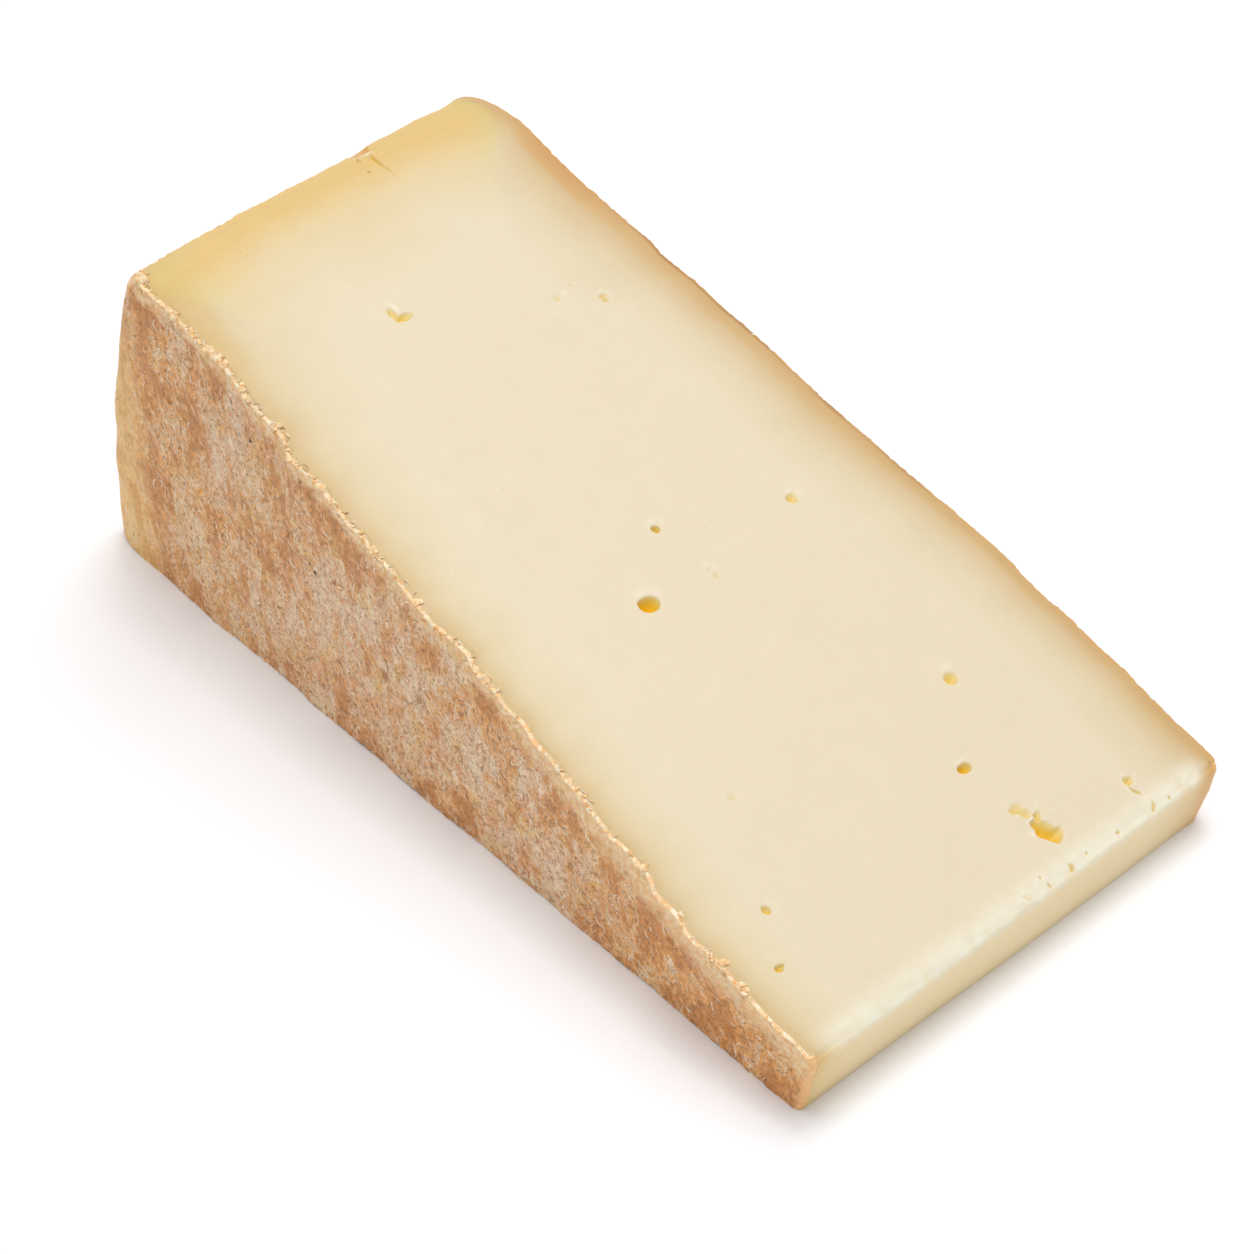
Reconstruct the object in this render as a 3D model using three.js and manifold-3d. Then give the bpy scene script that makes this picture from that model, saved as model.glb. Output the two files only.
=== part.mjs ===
// A wedge cut from a pressed cheese wheel and laid on one of its two cut faces.
// Millimetres, +Z up. The thick end is the wheel's rim (-X), the thin end is the nose (+X).
// The wheel's two flat sides, both under rind, are the upright left (-Y) and right (+Y) walls.

import * as THREE from 'three';
import { mergeVertices } from 'three/addons/utils/BufferGeometryUtils.js';
import loadManifold from 'manifold-3d';

// ---------------------------------------------------------------- driving dimensions

const LENGTH = 160;            // from the foot of the rim to the nose, along the floor
const RIM_WIDTH = 76;          // across the wheel's two flat sides at the rim
const NOSE_WIDTH = 81.6;       // the same at the nose: the flat sides bulge towards the middle
const CUT_ANGLE_DEG = 17.45;   // between the face it lies on and the upper cut face
const CUTS_MEET_X = 197.2;     // where the two cut faces would meet, past the nose

const RIM_SKEW = 10.9;         // how far the rim runs out of square across the width
const RIM_BULGE = 0.7;         // crown of the rim across the width
const RIM_LEAN = 18.1;         // how far the rim leans in between its foot and its top edge
const RIM_LEAN_POWER = 1.65;
const RIM_FOOT = -4.4;         // the foot of the rim on the left side
const RIM_EDGE_ROUND = 1.5;    // worn upper edge of the rim
const RIM_EDGE_ROW = 0.9;      // share of the rim's height where that wear starts
const NOSE_LEANS = [2.3, 1.7]; // how far the nose overhangs at its left and its right end
const NOSE_EDGE_ROUND = 0.8;   // worn upper edge of the nose
const NOSE_EDGE_ROW = 0.85;    // share of the nose's height where that wear starts

// Corner roundings as [along X, along Y]: at the floor and at the upper cut face.
const CORNERS = [
  { end: 1, side: -1, foot: [1.2, 1.2], top: [0.8, 0.8], arcSteps: 3, edgeSteps: 22 },
  { end: 1, side: 1, foot: [1.5, 1.3], top: [0.8, 0.8], arcSteps: 4, edgeSteps: 62 },
  { end: 0, side: 1, foot: [12, 7.5], top: [12, 7], arcSteps: 7, edgeSteps: 20 },
  { end: 0, side: -1, foot: [8, 3], top: [2.5, 2], arcSteps: 7, edgeSteps: 92 },
];
const WALL_ROWS = 20;
const ROW_CROWDING = 0.5;      // 0 spaces the rows evenly, 1 crowds them at floor and top edge

// Slow waves of the two rind walls: middle, reach and size along the wedge, + is outwards.
// row is the height where a wave is at full size: 1 at the upper edge, 0 at the floor.
const LEFT_WAVES = [
  { middle: 37, reach: 17, size: -2, row: 1 },
  { middle: 90, reach: 10, size: -0.6, row: 1 },
  { middle: 138, reach: 24, size: 1.2, row: 1 },
];
const RIGHT_WAVES = [
  { middle: 32, reach: 20, size: -0.9, row: 1 },
  { middle: 124, reach: 28, size: 1.4, row: 1 },
  { middle: 158, reach: 9, size: 1.1, row: 0.5 },
];

// Uneven rind: knobs of two sizes, and a ragged lip where the knife left the left rind.
const RIND_KNOBS = [{ pitch: 13, size: 0.35 }, { pitch: 5.5, size: 0.4 }];
const CALM_FOOT = { row: 0.3, share: 0.5 };       // below this row the knobs fade to this share
const PASTE_KNOBS = [{ pitch: 18, size: 0.25 }];
const RIND_ENDS = [0.5, 5];    // rind knobs grow to full size over this stretch from the nose
const LIP_PITCH = 3.2;
const LIP_SIZE = 0.55;
const LIP_ROW = 0.9;

// Round eyes in the upper cut face: place from the foot of the rim and from the middle
// of the width, then length and width of the opening and depth.
const EYES = [
  { x: 99.3, y: -11.1, size: [2.9, 3.6], depth: 2.2 },
  { x: 40.1, y: -7.2, size: [1.7, 3.8], depth: 0.55 },
  { x: 38.7, y: -8.3, size: [2.9, 1.5], depth: 0.45 },
  { x: 89.7, y: -1.1, size: [1.5, 1.5], depth: 1 },
  { x: 51.2, y: 23.2, size: [1.9, 2], depth: 0.25 },
  { x: 47.8, y: 16.5, size: [1.6, 1.8], depth: 0.2 },
  { x: 95.4, y: 20.9, size: [2.1, 2.3], depth: 0.4 },
  { x: 130.7, y: 17.8, size: [2.3, 2.8], depth: 0.5 },
  { x: 142.2, y: 8.2, size: [1.7, 2.5], depth: 1.3 },
  { x: 143.3, y: -30.9, size: [1.6, 1.4], depth: 0.55 },
  { x: 150.2, y: -35.3, size: [1.1, 1.5], depth: 0.7 },
];

// Openings that run along a line: each is a row of overlapping scoops from start to end.
const CRACKS = [
  { start: [150, 9.6], end: [152.4, 10.3], width: 2.2, depth: 0.5, scoops: 3 },
  { start: [152.8, 11.4], end: [153.4, 11.2], width: 1.5, depth: 0.75, scoops: 2 },
  { start: [153.9, 10.3], end: [156.9, 11.3], width: 2.9, depth: 2.1, scoops: 3 },
  { start: [156, 27.1], end: [156.1, 27.1], width: 1.7, depth: 0.75, scoops: 1 },
  { start: [157.3, 26.4], end: [158.6, 26.9], width: 0.8, depth: 0.6, scoops: 2 },
];

// Chips out of the two outer edges of the upper cut face.
const EDGE_CHIPS = [
  { x: 160.8, y: 27.1, size: [1.2, 1.6], depth: 0.4 },
  { x: 160.9, y: 9.4, size: [1.4, 1.2], depth: 0.4 },
  { x: 161.2, y: -28.7, size: [0.9, 2.2], depth: 0.3 },
  { x: 8.4, y: 8.7, size: [2.4, 4.2], depth: 0.9 },
];

const SCOOP_LUMPS = { size: 0.12, pitch: 0.8 };   // unevenness of a scoop of radius 1
const SCOOP_SWELL = { size: 0.2, pitch: 1.3 };    // how the scoops of one crack differ
const WIDE_SCOOP = 3;          // an opening at least this wide gets a finer scoop

const PASTE_COLOUR = 0xeadbb0;
const PASTE_ROUGHNESS = 0.5;

// ---------------------------------------------------------------- uneven surfaces

const CUT_ANGLE = THREE.MathUtils.degToRad(CUT_ANGLE_DEG);
const CUT_SLOPE = Math.tan(CUT_ANGLE);
const { lerp, smoothstep } = THREE.MathUtils;

/** A repeatable random number from -1 to 1 for the corner of a noise cell. */
function cellValue(i, j, k) {
  let hash = Math.imul(i, 374761393) ^ Math.imul(j, 668265263) ^ Math.imul(k, 2147483647);
  hash = Math.imul(hash ^ (hash >>> 13), 1274126177);
  hash ^= hash >>> 16;
  return (hash & 0xffff) / 0x7fff - 1;
}

/** Smooth noise from -1 to 1 that changes over about `pitch` millimetres. */
function noise(x, y, z, pitch) {
  const cell = [x, y, z].map((value) => Math.floor(value / pitch));
  const weight = [x, y, z].map((value, axis) => smoothstep(value / pitch - cell[axis], 0, 1));
  let sum = 0;
  for (let corner = 0; corner < 8; corner += 1) {
    const bits = [corner & 1, (corner >> 1) & 1, corner >> 2];
    const share = bits.reduce((w, bit, axis) => w * (bit ? weight[axis] : 1 - weight[axis]), 1);
    sum += share * cellValue(cell[0] + bits[0], cell[1] + bits[1], cell[2] + bits[2]);
  }
  return sum;
}

function knobs(point, layers) {
  return layers.reduce((sum, { pitch, size }) => sum + size * noise(...point.toArray(), pitch), 0);
}

/** The waves of one wall at distance x along the wedge and at row w (0 floor, 1 top). */
function wave(waves, x, w) {
  return waves.reduce((sum, { middle, reach, size, row }) => {
    const rise = (1 - Math.abs(w - row)) ** 2;
    return sum + size * rise * Math.exp(-(((x - middle) / reach) ** 2));
  }, 0);
}

// ---------------------------------------------------------------- the wedge's outer form

const upperCutHeight = (x) => (CUTS_MEET_X - x) * CUT_SLOPE;

/** Squared-up outline at row w: x runs 0 to LENGTH, v runs -1 (left) to 1 (right). */
function squareOutline(w) {
  const half = RIM_WIDTH / 2;
  const corners = CORNERS.map((corner) => ({
    ...corner,
    x: corner.end * LENGTH,
    y: corner.side * half,
    rx: lerp(corner.foot[0], corner.top[0], w),
    ry: lerp(corner.foot[1], corner.top[1], w),
  }));
  const points = [];
  corners.forEach((corner, index) => {
    const next = corners[(index + 1) % corners.length];
    const turnsOntoEnd = next.end === corner.end;
    const inwardsX = corner.end === 1 ? -1 : 1;
    const arc = (angle) => {
      const [alongX, alongY] = turnsOntoEnd
        ? [1 - Math.sin(angle), 1 - Math.cos(angle)]
        : [1 - Math.cos(angle), 1 - Math.sin(angle)];
      return {
        x: corner.x + inwardsX * corner.rx * alongX,
        v: (corner.y - corner.side * corner.ry * alongY) / half,
      };
    };
    for (let step = 0; step <= corner.arcSteps; step += 1) {
      points.push(arc((step / corner.arcSteps) * (Math.PI / 2)));
    }
    const from = points[points.length - 1];
    const nextInwardsX = next.end === 1 ? -1 : 1;
    const to = turnsOntoEnd
      ? { x: next.x, v: (next.y - next.side * next.ry) / half }
      : { x: next.x + nextInwardsX * next.rx, v: next.y / half };
    for (let step = 1; step < corner.edgeSteps; step += 1) {
      const share = step / corner.edgeSteps;
      points.push({ x: lerp(from.x, to.x, share), v: lerp(from.v, to.v, share) });
    }
  });
  return points;
}

/** Moves a point of the squared-up outline to its place on the wedge at row w. */
function placeOnWedge({ x: squareX, v }, w) {
  const rimX = RIM_FOOT - RIM_SKEW * (v + 1) / 2 - RIM_BULGE * (1 - v * v)
    + RIM_LEAN * w ** RIM_LEAN_POWER
    + RIM_EDGE_ROUND * smoothstep(w, RIM_EDGE_ROW, 1) ** 2;
  const worn = NOSE_EDGE_ROUND * smoothstep(w, NOSE_EDGE_ROW, 1) ** 2;
  const noseX = LENGTH + w * lerp(NOSE_LEANS[0], NOSE_LEANS[1], (v + 1) / 2) - worn;
  const x = lerp(rimX, noseX, squareX / LENGTH);
  const halfWidth = lerp(RIM_WIDTH, NOSE_WIDTH, x / LENGTH) / 2;
  const outwards = v < 0 ? wave(LEFT_WAVES, x, w) : wave(RIGHT_WAVES, x, w);
  const y = v * (halfWidth + outwards);
  return new THREE.Vector3(x, y, w * upperCutHeight(x));
}

/** Rows of the wall, a little closer together at the floor and at the upper edge. */
function rowShare(row) {
  const even = row / WALL_ROWS;
  return lerp(even, (1 - Math.cos(Math.PI * even)) / 2, ROW_CROWDING);
}

/** One closed ring of the wall: the placed outline, pushed in and out by its relief. */
function wallRing(w) {
  const smooth = squareOutline(w).map((point) => placeOnWedge(point, w));
  return smooth.map((point, index) => {
    const before = smooth[(index + smooth.length - 1) % smooth.length];
    const after = smooth[(index + 1) % smooth.length];
    const outwards = new THREE.Vector2(after.y - before.y, before.x - after.x).normalize();
    const onRind = smoothstep(LENGTH - point.x, ...RIND_ENDS);
    const calm = lerp(CALM_FOOT.share, 1, smoothstep(w, 0, CALM_FOOT.row));
    let push = lerp(knobs(point, PASTE_KNOBS), calm * knobs(point, RIND_KNOBS), onRind);
    if (point.y < 0) {
      push += LIP_SIZE * onRind * smoothstep(w, LIP_ROW, 1) * noise(point.x, 0, 0, LIP_PITCH);
    }
    const x = point.x + push * outwards.x;
    const y = point.y + push * outwards.y;
    return new THREE.Vector3(x, y, w * upperCutHeight(x));
  });
}

/** The whole closed outer form: stacked rings, with a flat cap over and under them. */
function wedgeGeometry() {
  const rings = Array.from({ length: WALL_ROWS + 1 }, (_, row) => wallRing(rowShare(row)));
  const around = rings[0].length;
  const faces = [];
  for (let row = 0; row < WALL_ROWS; row += 1) {
    for (let index = 0; index < around; index += 1) {
      const next = (index + 1) % around;
      const [a, b] = [row * around + index, row * around + next];
      const [c, d] = [a + around, b + around];
      faces.push(a, b, d, a, d, c);
    }
  }
  const outlineOf = (ring) => ring.map(({ x, y }) => new THREE.Vector2(x, y));
  const topStart = WALL_ROWS * around;
  for (const [a, b, c] of THREE.ShapeUtils.triangulateShape(outlineOf(rings[WALL_ROWS]), [])) {
    faces.push(topStart + a, topStart + b, topStart + c);
  }
  for (const [a, b, c] of THREE.ShapeUtils.triangulateShape(outlineOf(rings[0]), [])) {
    faces.push(a, c, b);
  }
  const geometry = new THREE.BufferGeometry().setFromPoints(rings.flat());
  geometry.setIndex(faces);
  return geometry;
}

// ---------------------------------------------------------------- eyes, cracks and chips

/** A lumpy scoop lying in the upper cut face, as a closed body to be cut away. */
function scoopGeometry({ x, y, size, depth }, detail) {
  const geometry = new THREE.IcosahedronGeometry(1, detail);
  const position = geometry.getAttribute('position');
  const point = new THREE.Vector3();
  for (let index = 0; index < position.count; index += 1) {
    point.fromBufferAttribute(position, index);
    const lump = noise(point.x + x, point.y + y, point.z, SCOOP_LUMPS.pitch);
    point.multiplyScalar(1 + SCOOP_LUMPS.size * lump);
    position.setXYZ(index, point.x, point.y, point.z);
  }
  geometry.scale(size[0] / 2, size[1] / 2, depth);
  geometry.rotateY(CUT_ANGLE);
  geometry.translate(x, y, upperCutHeight(x));
  return geometry;
}

/** The overlapping scoops of one crack, each a little uneven in size. */
function crackScoops({ start, end, width, depth, scoops }) {
  return Array.from({ length: scoops }, (_, index) => {
    const share = scoops > 1 ? index / (scoops - 1) : 0;
    const x = lerp(start[0], end[0], share);
    const y = lerp(start[1], end[1], share);
    const swell = 1 + SCOOP_SWELL.size * noise(x, y, 0, SCOOP_SWELL.pitch);
    return { x, y, size: [width * swell, width * swell], depth: depth * swell };
  });
}

const MERGE_WITHIN = 1e-4;
const wasm = await loadManifold();
wasm.setup();

function toManifold(geometry) {
  const bare = geometry.clone();
  bare.deleteAttribute('normal');
  bare.deleteAttribute('uv');
  const merged = mergeVertices(bare, MERGE_WITHIN);
  return new wasm.Manifold(new wasm.Mesh({
    numProp: 3,
    vertProperties: new Float32Array(merged.getAttribute('position').array),
    triVerts: new Uint32Array(merged.getIndex().array),
  }));
}

function toGeometry(body) {
  const mesh = body.getMesh();
  const geometry = new THREE.BufferGeometry();
  geometry.setAttribute('position', new THREE.BufferAttribute(mesh.vertProperties, 3));
  geometry.setIndex(new THREE.BufferAttribute(mesh.triVerts, 1));
  return geometry;
}

function cutWedge() {
  const scoops = [...EYES, ...CRACKS.flatMap(crackScoops), ...EDGE_CHIPS];
  return scoops.reduce((body, scoop) => {
    const detail = Math.max(...scoop.size) >= WIDE_SCOOP ? 2 : 1;
    return body.subtract(toManifold(scoopGeometry(scoop, detail)));
  }, toManifold(wedgeGeometry()));
}

// ---------------------------------------------------------------- the part

/** Puts the middle of the footprint at the origin, with the floor at zero. */
function centreOnFloor(geometry) {
  geometry.computeBoundingBox();
  const { min, max } = geometry.boundingBox;
  geometry.translate(-(min.x + max.x) / 2, -(min.y + max.y) / 2, -min.z);
  return geometry;
}

const cheeseWedge = new THREE.Mesh(
  centreOnFloor(toGeometry(cutWedge())),
  new THREE.MeshStandardMaterial({ color: PASTE_COLOUR, roughness: PASTE_ROUGHNESS, metalness: 0 }),
);
cheeseWedge.name = 'cheese_wedge';

const part = new THREE.Group();
part.add(cheeseWedge);

export default part;
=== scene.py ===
"""A wedge cut from a pressed cheese wheel: cream paste, a bloomy rind with a torn lip, and a studio stage."""

import math

import bmesh
import bpy
import numpy as np
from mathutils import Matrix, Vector
from mathutils.geometry import delaunay_2d_cdt


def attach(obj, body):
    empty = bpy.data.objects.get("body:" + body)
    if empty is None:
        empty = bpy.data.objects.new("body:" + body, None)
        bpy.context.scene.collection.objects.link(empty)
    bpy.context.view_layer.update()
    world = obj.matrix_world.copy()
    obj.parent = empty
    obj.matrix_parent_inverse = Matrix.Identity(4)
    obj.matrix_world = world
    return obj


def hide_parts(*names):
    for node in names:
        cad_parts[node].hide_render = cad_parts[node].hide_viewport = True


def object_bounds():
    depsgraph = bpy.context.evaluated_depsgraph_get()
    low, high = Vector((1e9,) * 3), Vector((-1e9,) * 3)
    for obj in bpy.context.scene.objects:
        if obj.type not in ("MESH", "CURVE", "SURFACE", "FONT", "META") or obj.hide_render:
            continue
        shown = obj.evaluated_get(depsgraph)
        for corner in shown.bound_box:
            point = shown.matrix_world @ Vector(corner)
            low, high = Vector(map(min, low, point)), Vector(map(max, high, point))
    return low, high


bl_info = {
    "name": "Cheese Wedge",
    "version": (1, 0, 0),
    "blender": (4, 5, 0),
    "location": "View3D > Sidebar > Cheese",
    "description": "Builds the paste, rind, bloom and torn lip of a wedge of pressed cheese",
    "category": "Object",
}

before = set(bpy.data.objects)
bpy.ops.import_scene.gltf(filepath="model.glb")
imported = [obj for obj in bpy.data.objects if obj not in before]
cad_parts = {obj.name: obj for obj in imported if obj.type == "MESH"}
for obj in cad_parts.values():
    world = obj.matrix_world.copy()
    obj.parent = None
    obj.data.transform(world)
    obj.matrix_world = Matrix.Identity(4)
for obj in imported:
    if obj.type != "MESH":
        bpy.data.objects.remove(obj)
CAD_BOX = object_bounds()
NODE = "cheese_wedge"
BODY = "root"
MM = 0.001

# ---------------- the wedge's form, in millimetres
# x runs from the foot of the rim to the nose, y across the wheel's two flat sides, z up.

DATUM = (-73.75, 0.22, 0.0)      # from the foot of the rim to the middle of the footprint
LENGTH = 160.0
RIM_WIDTH = 76.0
NOSE_WIDTH = 81.6
CUT_ANGLE = math.radians(17.45)
CUT_SLOPE = math.tan(CUT_ANGLE)
CUTS_MEET_X = 197.2
RIM_SKEW = 10.9
RIM_BULGE = 0.7
RIM_LEAN = 18.1
RIM_LEAN_POWER = 1.65
RIM_FOOT = -4.4
RIM_EDGE_ROUND = 1.5
RIM_EDGE_ROW = 0.9
NOSE_LEANS = (2.3, 1.7)
NOSE_EDGE_ROUND = 0.8
NOSE_EDGE_ROW = 0.85

# Corner roundings as (along x, along y): at the floor, and at the upper cut face.
NOSE_LEFT = ((1.2, 1.2), (0.8, 0.8))
NOSE_RIGHT = ((1.5, 1.3), (0.8, 0.8))
HEEL_RIGHT = ((12.0, 7.5), (12.0, 7.0))
HEEL_LEFT = ((8.0, 3.0), (2.5, 2.0))

# Slow waves of the two flat sides: middle, reach, size, row of full size.
LEFT_WAVES = ((37, 17, -2.0, 1), (90, 10, -0.6, 1), (138, 24, 1.2, 1))
RIGHT_WAVES = ((32, 20, -0.9, 1), (124, 28, 1.4, 1), (158, 9, 1.1, 0.5))

RIND_KNOBS = ((13.0, 0.35), (5.5, 0.4))
CALM_FOOT = (0.3, 0.5)
PASTE_KNOBS = ((18.0, 0.25),)
RIND_ENDS = (0.5, 5.0)
LIP_PITCH = 3.2
LIP_SIZE = 0.55
LIP_ROW = 0.9

# Round eyes and dimples of the cut face: x, y, opening along and across, depth.
EYES = (
    (99.3, -11.1, 2.9, 3.6, 2.2), (40.1, -7.2, 1.7, 3.8, 0.55), (38.7, -8.3, 2.9, 1.5, 0.45),
    (89.65, -1.1, 1.5, 1.5, 1.0), (142.2, 8.15, 1.7, 2.5, 1.3), (130.7, 17.8, 2.3, 2.8, 0.5),
    (95.4, 20.9, 2.1, 2.3, 0.4), (50.8, 23.3, 1.1, 2.0, 0.25), (51.7, 23.1, 1.0, 1.6, 0.25),
    (47.8, 16.5, 1.6, 1.8, 0.12), (143.3, -30.9, 1.6, 1.4, 0.55), (150.2, -35.3, 1.1, 1.5, 0.7),
    (150.1, -34.8, 0.6, 1.1, 0.5), (18.2, -20.4, 2.1, 0.8, 0.16), (99.1, 0.8, 0.8, 0.9, 0.08),
    (100.3, 1.0, 1.0, 1.5, 0.11), (46.65, 20.05, 0.5, 0.8, 0.12), (16.0, 30.3, 0.7, 0.5, 0.14),
    (9.9, 7.65, 1.2, 1.0, 0.4), (12.6, 7.55, 0.6, 0.6, 0.5), (93.2, 5.9, 0.7, 0.6, 0.08),
    (73.4, -15.5, 1.6, 1.7, 0.07), (128.5, -22.7, 1.9, 1.9, 0.09), (160.75, 4.5, 1.1, 0.6, 0.16),
    (159.7, 4.2, 0.5, 0.7, 0.16), (160.35, 12.8, 0.5, 0.7, 0.16), (160.5, 19.3, 0.6, 1.0, 0.2),
    (161.0, 19.0, 0.3, 0.6, 0.16), (160.65, 30.2, 0.6, 0.7, 0.2), (162.0, 27.9, 0.4, 0.5, 0.2),
)
# Cracks and torn places as rows of (x, crisp edge, faded edge, depth).
CRACKS = (
    ((148.9, 8.7, 8.9, 0.0), (149.5, 8.65, 9.1, 0.07), (149.9, 8.6, 10.4, 0.1), (150.2, 8.3, 11.1, 0.28),
     (150.7, 8.2, 11.35, 0.38), (151.1, 8.3, 11.4, 0.4), (151.3, 9.0, 11.4, 0.38),
     (151.6, 9.2, 11.4, 0.38), (152.1, 9.3, 11.3, 0.42), (152.5, 9.5, 11.2, 0.32),
     (152.75, 9.8, 10.9, 0.0)),
    ((152.3, 11.0, 12.0, 0.0), (152.6, 10.7, 12.3, 0.5), (153.0, 10.5, 12.2, 0.75),
     (153.4, 10.5, 11.9, 0.7), (153.8, 10.6, 11.4, 0.0)),
    ((153.05, 9.7, 10.6, 0.0), (153.2, 9.3, 10.9, 0.8), (153.6, 9.1, 11.3, 1.3), (154.4, 9.1, 11.9, 1.6),
     (154.8, 8.9, 12.0, 1.9), (155.1, 8.7, 12.1, 2.1), (155.5, 8.8, 12.3, 2.2), (156.0, 9.1, 13.1, 2.0),
     (156.5, 9.6, 12.9, 1.7), (157.0, 10.0, 12.4, 1.2), (157.4, 10.25, 11.9, 0.8),
     (157.65, 10.7, 11.3, 0.0)),
    ((155.25, 27.0, 28.0, 0.0), (155.6, 26.3, 28.1, 0.35), (156.0, 26.2, 28.1, 0.75),
     (156.4, 26.2, 28.0, 0.75), (156.65, 26.3, 27.5, 0.35), (156.85, 26.3, 26.9, 0.0)),
    ((156.7, 26.2, 26.6, 0.0), (157.2, 25.95, 26.65, 0.45), (157.6, 26.0, 26.85, 0.6),
     (158.0, 26.2, 27.1, 0.6), (158.4, 26.45, 27.2, 0.5), (158.75, 26.7, 27.1, 0.2),
     (158.95, 26.9, 27.1, 0.0)),
    ((160.1, 9.3, 10.0, 0.0), (160.4, 9.0, 10.1, 0.3), (160.9, 8.75, 10.0, 0.4), (161.3, 8.75, 9.6, 0.2),
     (161.5, 8.8, 9.3, 0.0)),
    ((159.4, 27.5, 27.9, 0.0), (160.1, 27.2, 27.9, 0.18), (160.4, 26.7, 27.9, 0.33),
     (160.8, 26.4, 27.6, 0.33), (161.1, 26.2, 27.0, 0.15), (161.25, 26.3, 26.6, 0.0)),
    ((160.9, 29.6, 30.4, 0.0), (161.2, 29.2, 30.3, 0.2), (161.5, 28.9, 29.8, 0.2),
     (161.7, 28.9, 29.2, 0.0)),
    ((160.2, -0.6, 0.0, 0.0), (160.5, -0.6, 3.5, 0.1), (161.0, -0.2, 3.2, 0.1), (161.3, 0.5, 1.0, 0.0)),
    ((161.1, -28.6, -27.6, 0.0), (161.4, -29.2, -27.4, 0.16), (161.7, -30.0, -28.6, 0.0)),
    ((9.0, 10.55, 10.0, 0.0), (9.4, 10.55, 9.7, 0.25), (10.0, 10.5, 9.2, 0.5), (10.3, 10.45, 9.15, 0.5),
     (10.8, 10.5, 9.6, 0.5), (11.5, 10.5, 9.8, 0.42), (12.5, 10.65, 10.0, 0.3), (14.0, 10.9, 10.4, 0.2),
     (16.0, 11.1, 10.75, 0.1), (18.5, 11.35, 11.1, 0.05), (20.2, 11.6, 11.4, 0.0)),
)
# Painted highlights: whitish spots beside the hollows' rims, as x, y, radius along and across, strength.
PAINTED_HIGHLIGHT_SPOTS = (
    (97.2, -10.8, 0.5, 1.2, 0.5), (98.2, -8.9, 1.0, 0.4, 0.3), (88.3, -0.9, 0.3, 0.6, 0.5),
    (89.1, 0.4, 0.5, 0.25, 0.5), (141.0, 8.4, 0.3, 1.1, 0.5), (129.0, 18.3, 0.4, 1.2, 0.4),
    (94.2, 21.1, 0.35, 0.6, 0.4), (95.3, 22.5, 0.6, 0.3, 0.3), (37.9, -7.3, 0.9, 0.32, 1.0),
    (36.9, -7.6, 0.5, 0.5, 0.5), (49.8, 23.3, 0.3, 0.5, 0.5), (50.9, 24.4, 0.5, 0.3, 0.4),
    (47.6, 18.1, 0.35, 0.25, 0.7), (46.2, 16.5, 0.3, 0.5, 0.3), (142.6, -29.9, 0.3, 0.2, 0.5),
    (144.0, -29.8, 0.3, 0.2, 0.5), (148.6, -34.9, 0.3, 0.5, 0.4), (98.0, 1.0, 0.3, 0.5, 0.5),
    (98.9, 1.7, 0.4, 0.3, 0.5), (154.6, 8.2, 0.5, 0.35, 0.8), (149.8, 8.7, 0.4, 0.3, 0.5),
    (151.7, 12.2, 0.5, 0.3, 0.4), (153.6, 13.7, 0.25, 0.25, 0.6), (152.95, 9.7, 0.2, 0.6, 0.9),
    (155.8, 28.6, 0.3, 0.2, 0.6), (155.1, 26.9, 0.3, 0.5, 0.4), (157.0, 25.7, 0.7, 0.2, 0.5),
    (50.3, 13.5, 0.4, 0.3, 0.6), (9.1, 9.4, 0.18, 1.2, 0.9), (8.8, 7.1, 0.6, 0.15, 0.7),
    (11.7, 1.2, 1.3, 0.1, 0.6), (13.3, 4.6, 0.25, 0.2, 0.6), (10.2, 17.8, 0.5, 0.12, 0.5),
    (14.6, 5.9, 0.2, 0.15, 0.5),
)
DEEPEST = (0.3, -0.42)           # where an eye is deepest, as a share of its opening
EYE_LUMPS = (0.09, 0.8)          # size and pitch of an eye's unevenness, for a radius of 1
TORN = (0.1, 0.7)                # how far and how quickly the outline of a crack wanders
UNDERCUT = (0.18, -0.3)          # how far a hollow's floor lies off its mouth, for a depth of 1
EYE_FLOOR = 2.2                  # the higher, the flatter an eye's floor
EYE_WALLS = (0.5, 1.5)           # how an eye's wall falls on its near and its far side
CRACK_WALLS = (0.6, 1.2)         # and a crack's
CRACK_CRISP = 0.14               # the share of a crack's width that its crisp wall takes
HEEL_CHIP = ((6.4, 7.0, 8.6, 10.2, 10.9), (0.0, 0.6, 0.85, 0.7, 0.0))   # y, depth at the rim's edge
HEEL_CHIP_REACH = (9.2, 7.9)     # the chip fades out over this stretch of x
HEEL_CHIP_DOWN = 3               # and over this depth down the heel


def lerp(a, b, share):
    return a + (b - a) * share


def smoothstep(value, low, high):
    share = np.clip((value - low) / (high - low), 0, 1)
    return share * share * (3 - 2 * share)


def imul(a, b):
    """The lower 32 bits of a product."""
    return (a & np.uint64(0xFFFFFFFF)) * np.uint64(b) & np.uint64(0xFFFFFFFF)


def cell_value(i, j, k):
    """A repeatable random number from -1 to 1 for the corner of a noise cell."""
    i, j, k = (c.astype(np.int64).view(np.uint64) for c in (i, j, k))
    h = imul(i, 374761393) ^ imul(j, 668265263) ^ imul(k, 2147483647)
    h = imul(h ^ (h >> np.uint64(13)), 1274126177)
    h ^= h >> np.uint64(16)
    return (h & np.uint64(0xFFFF)).astype(float) / 0x7FFF - 1


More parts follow.
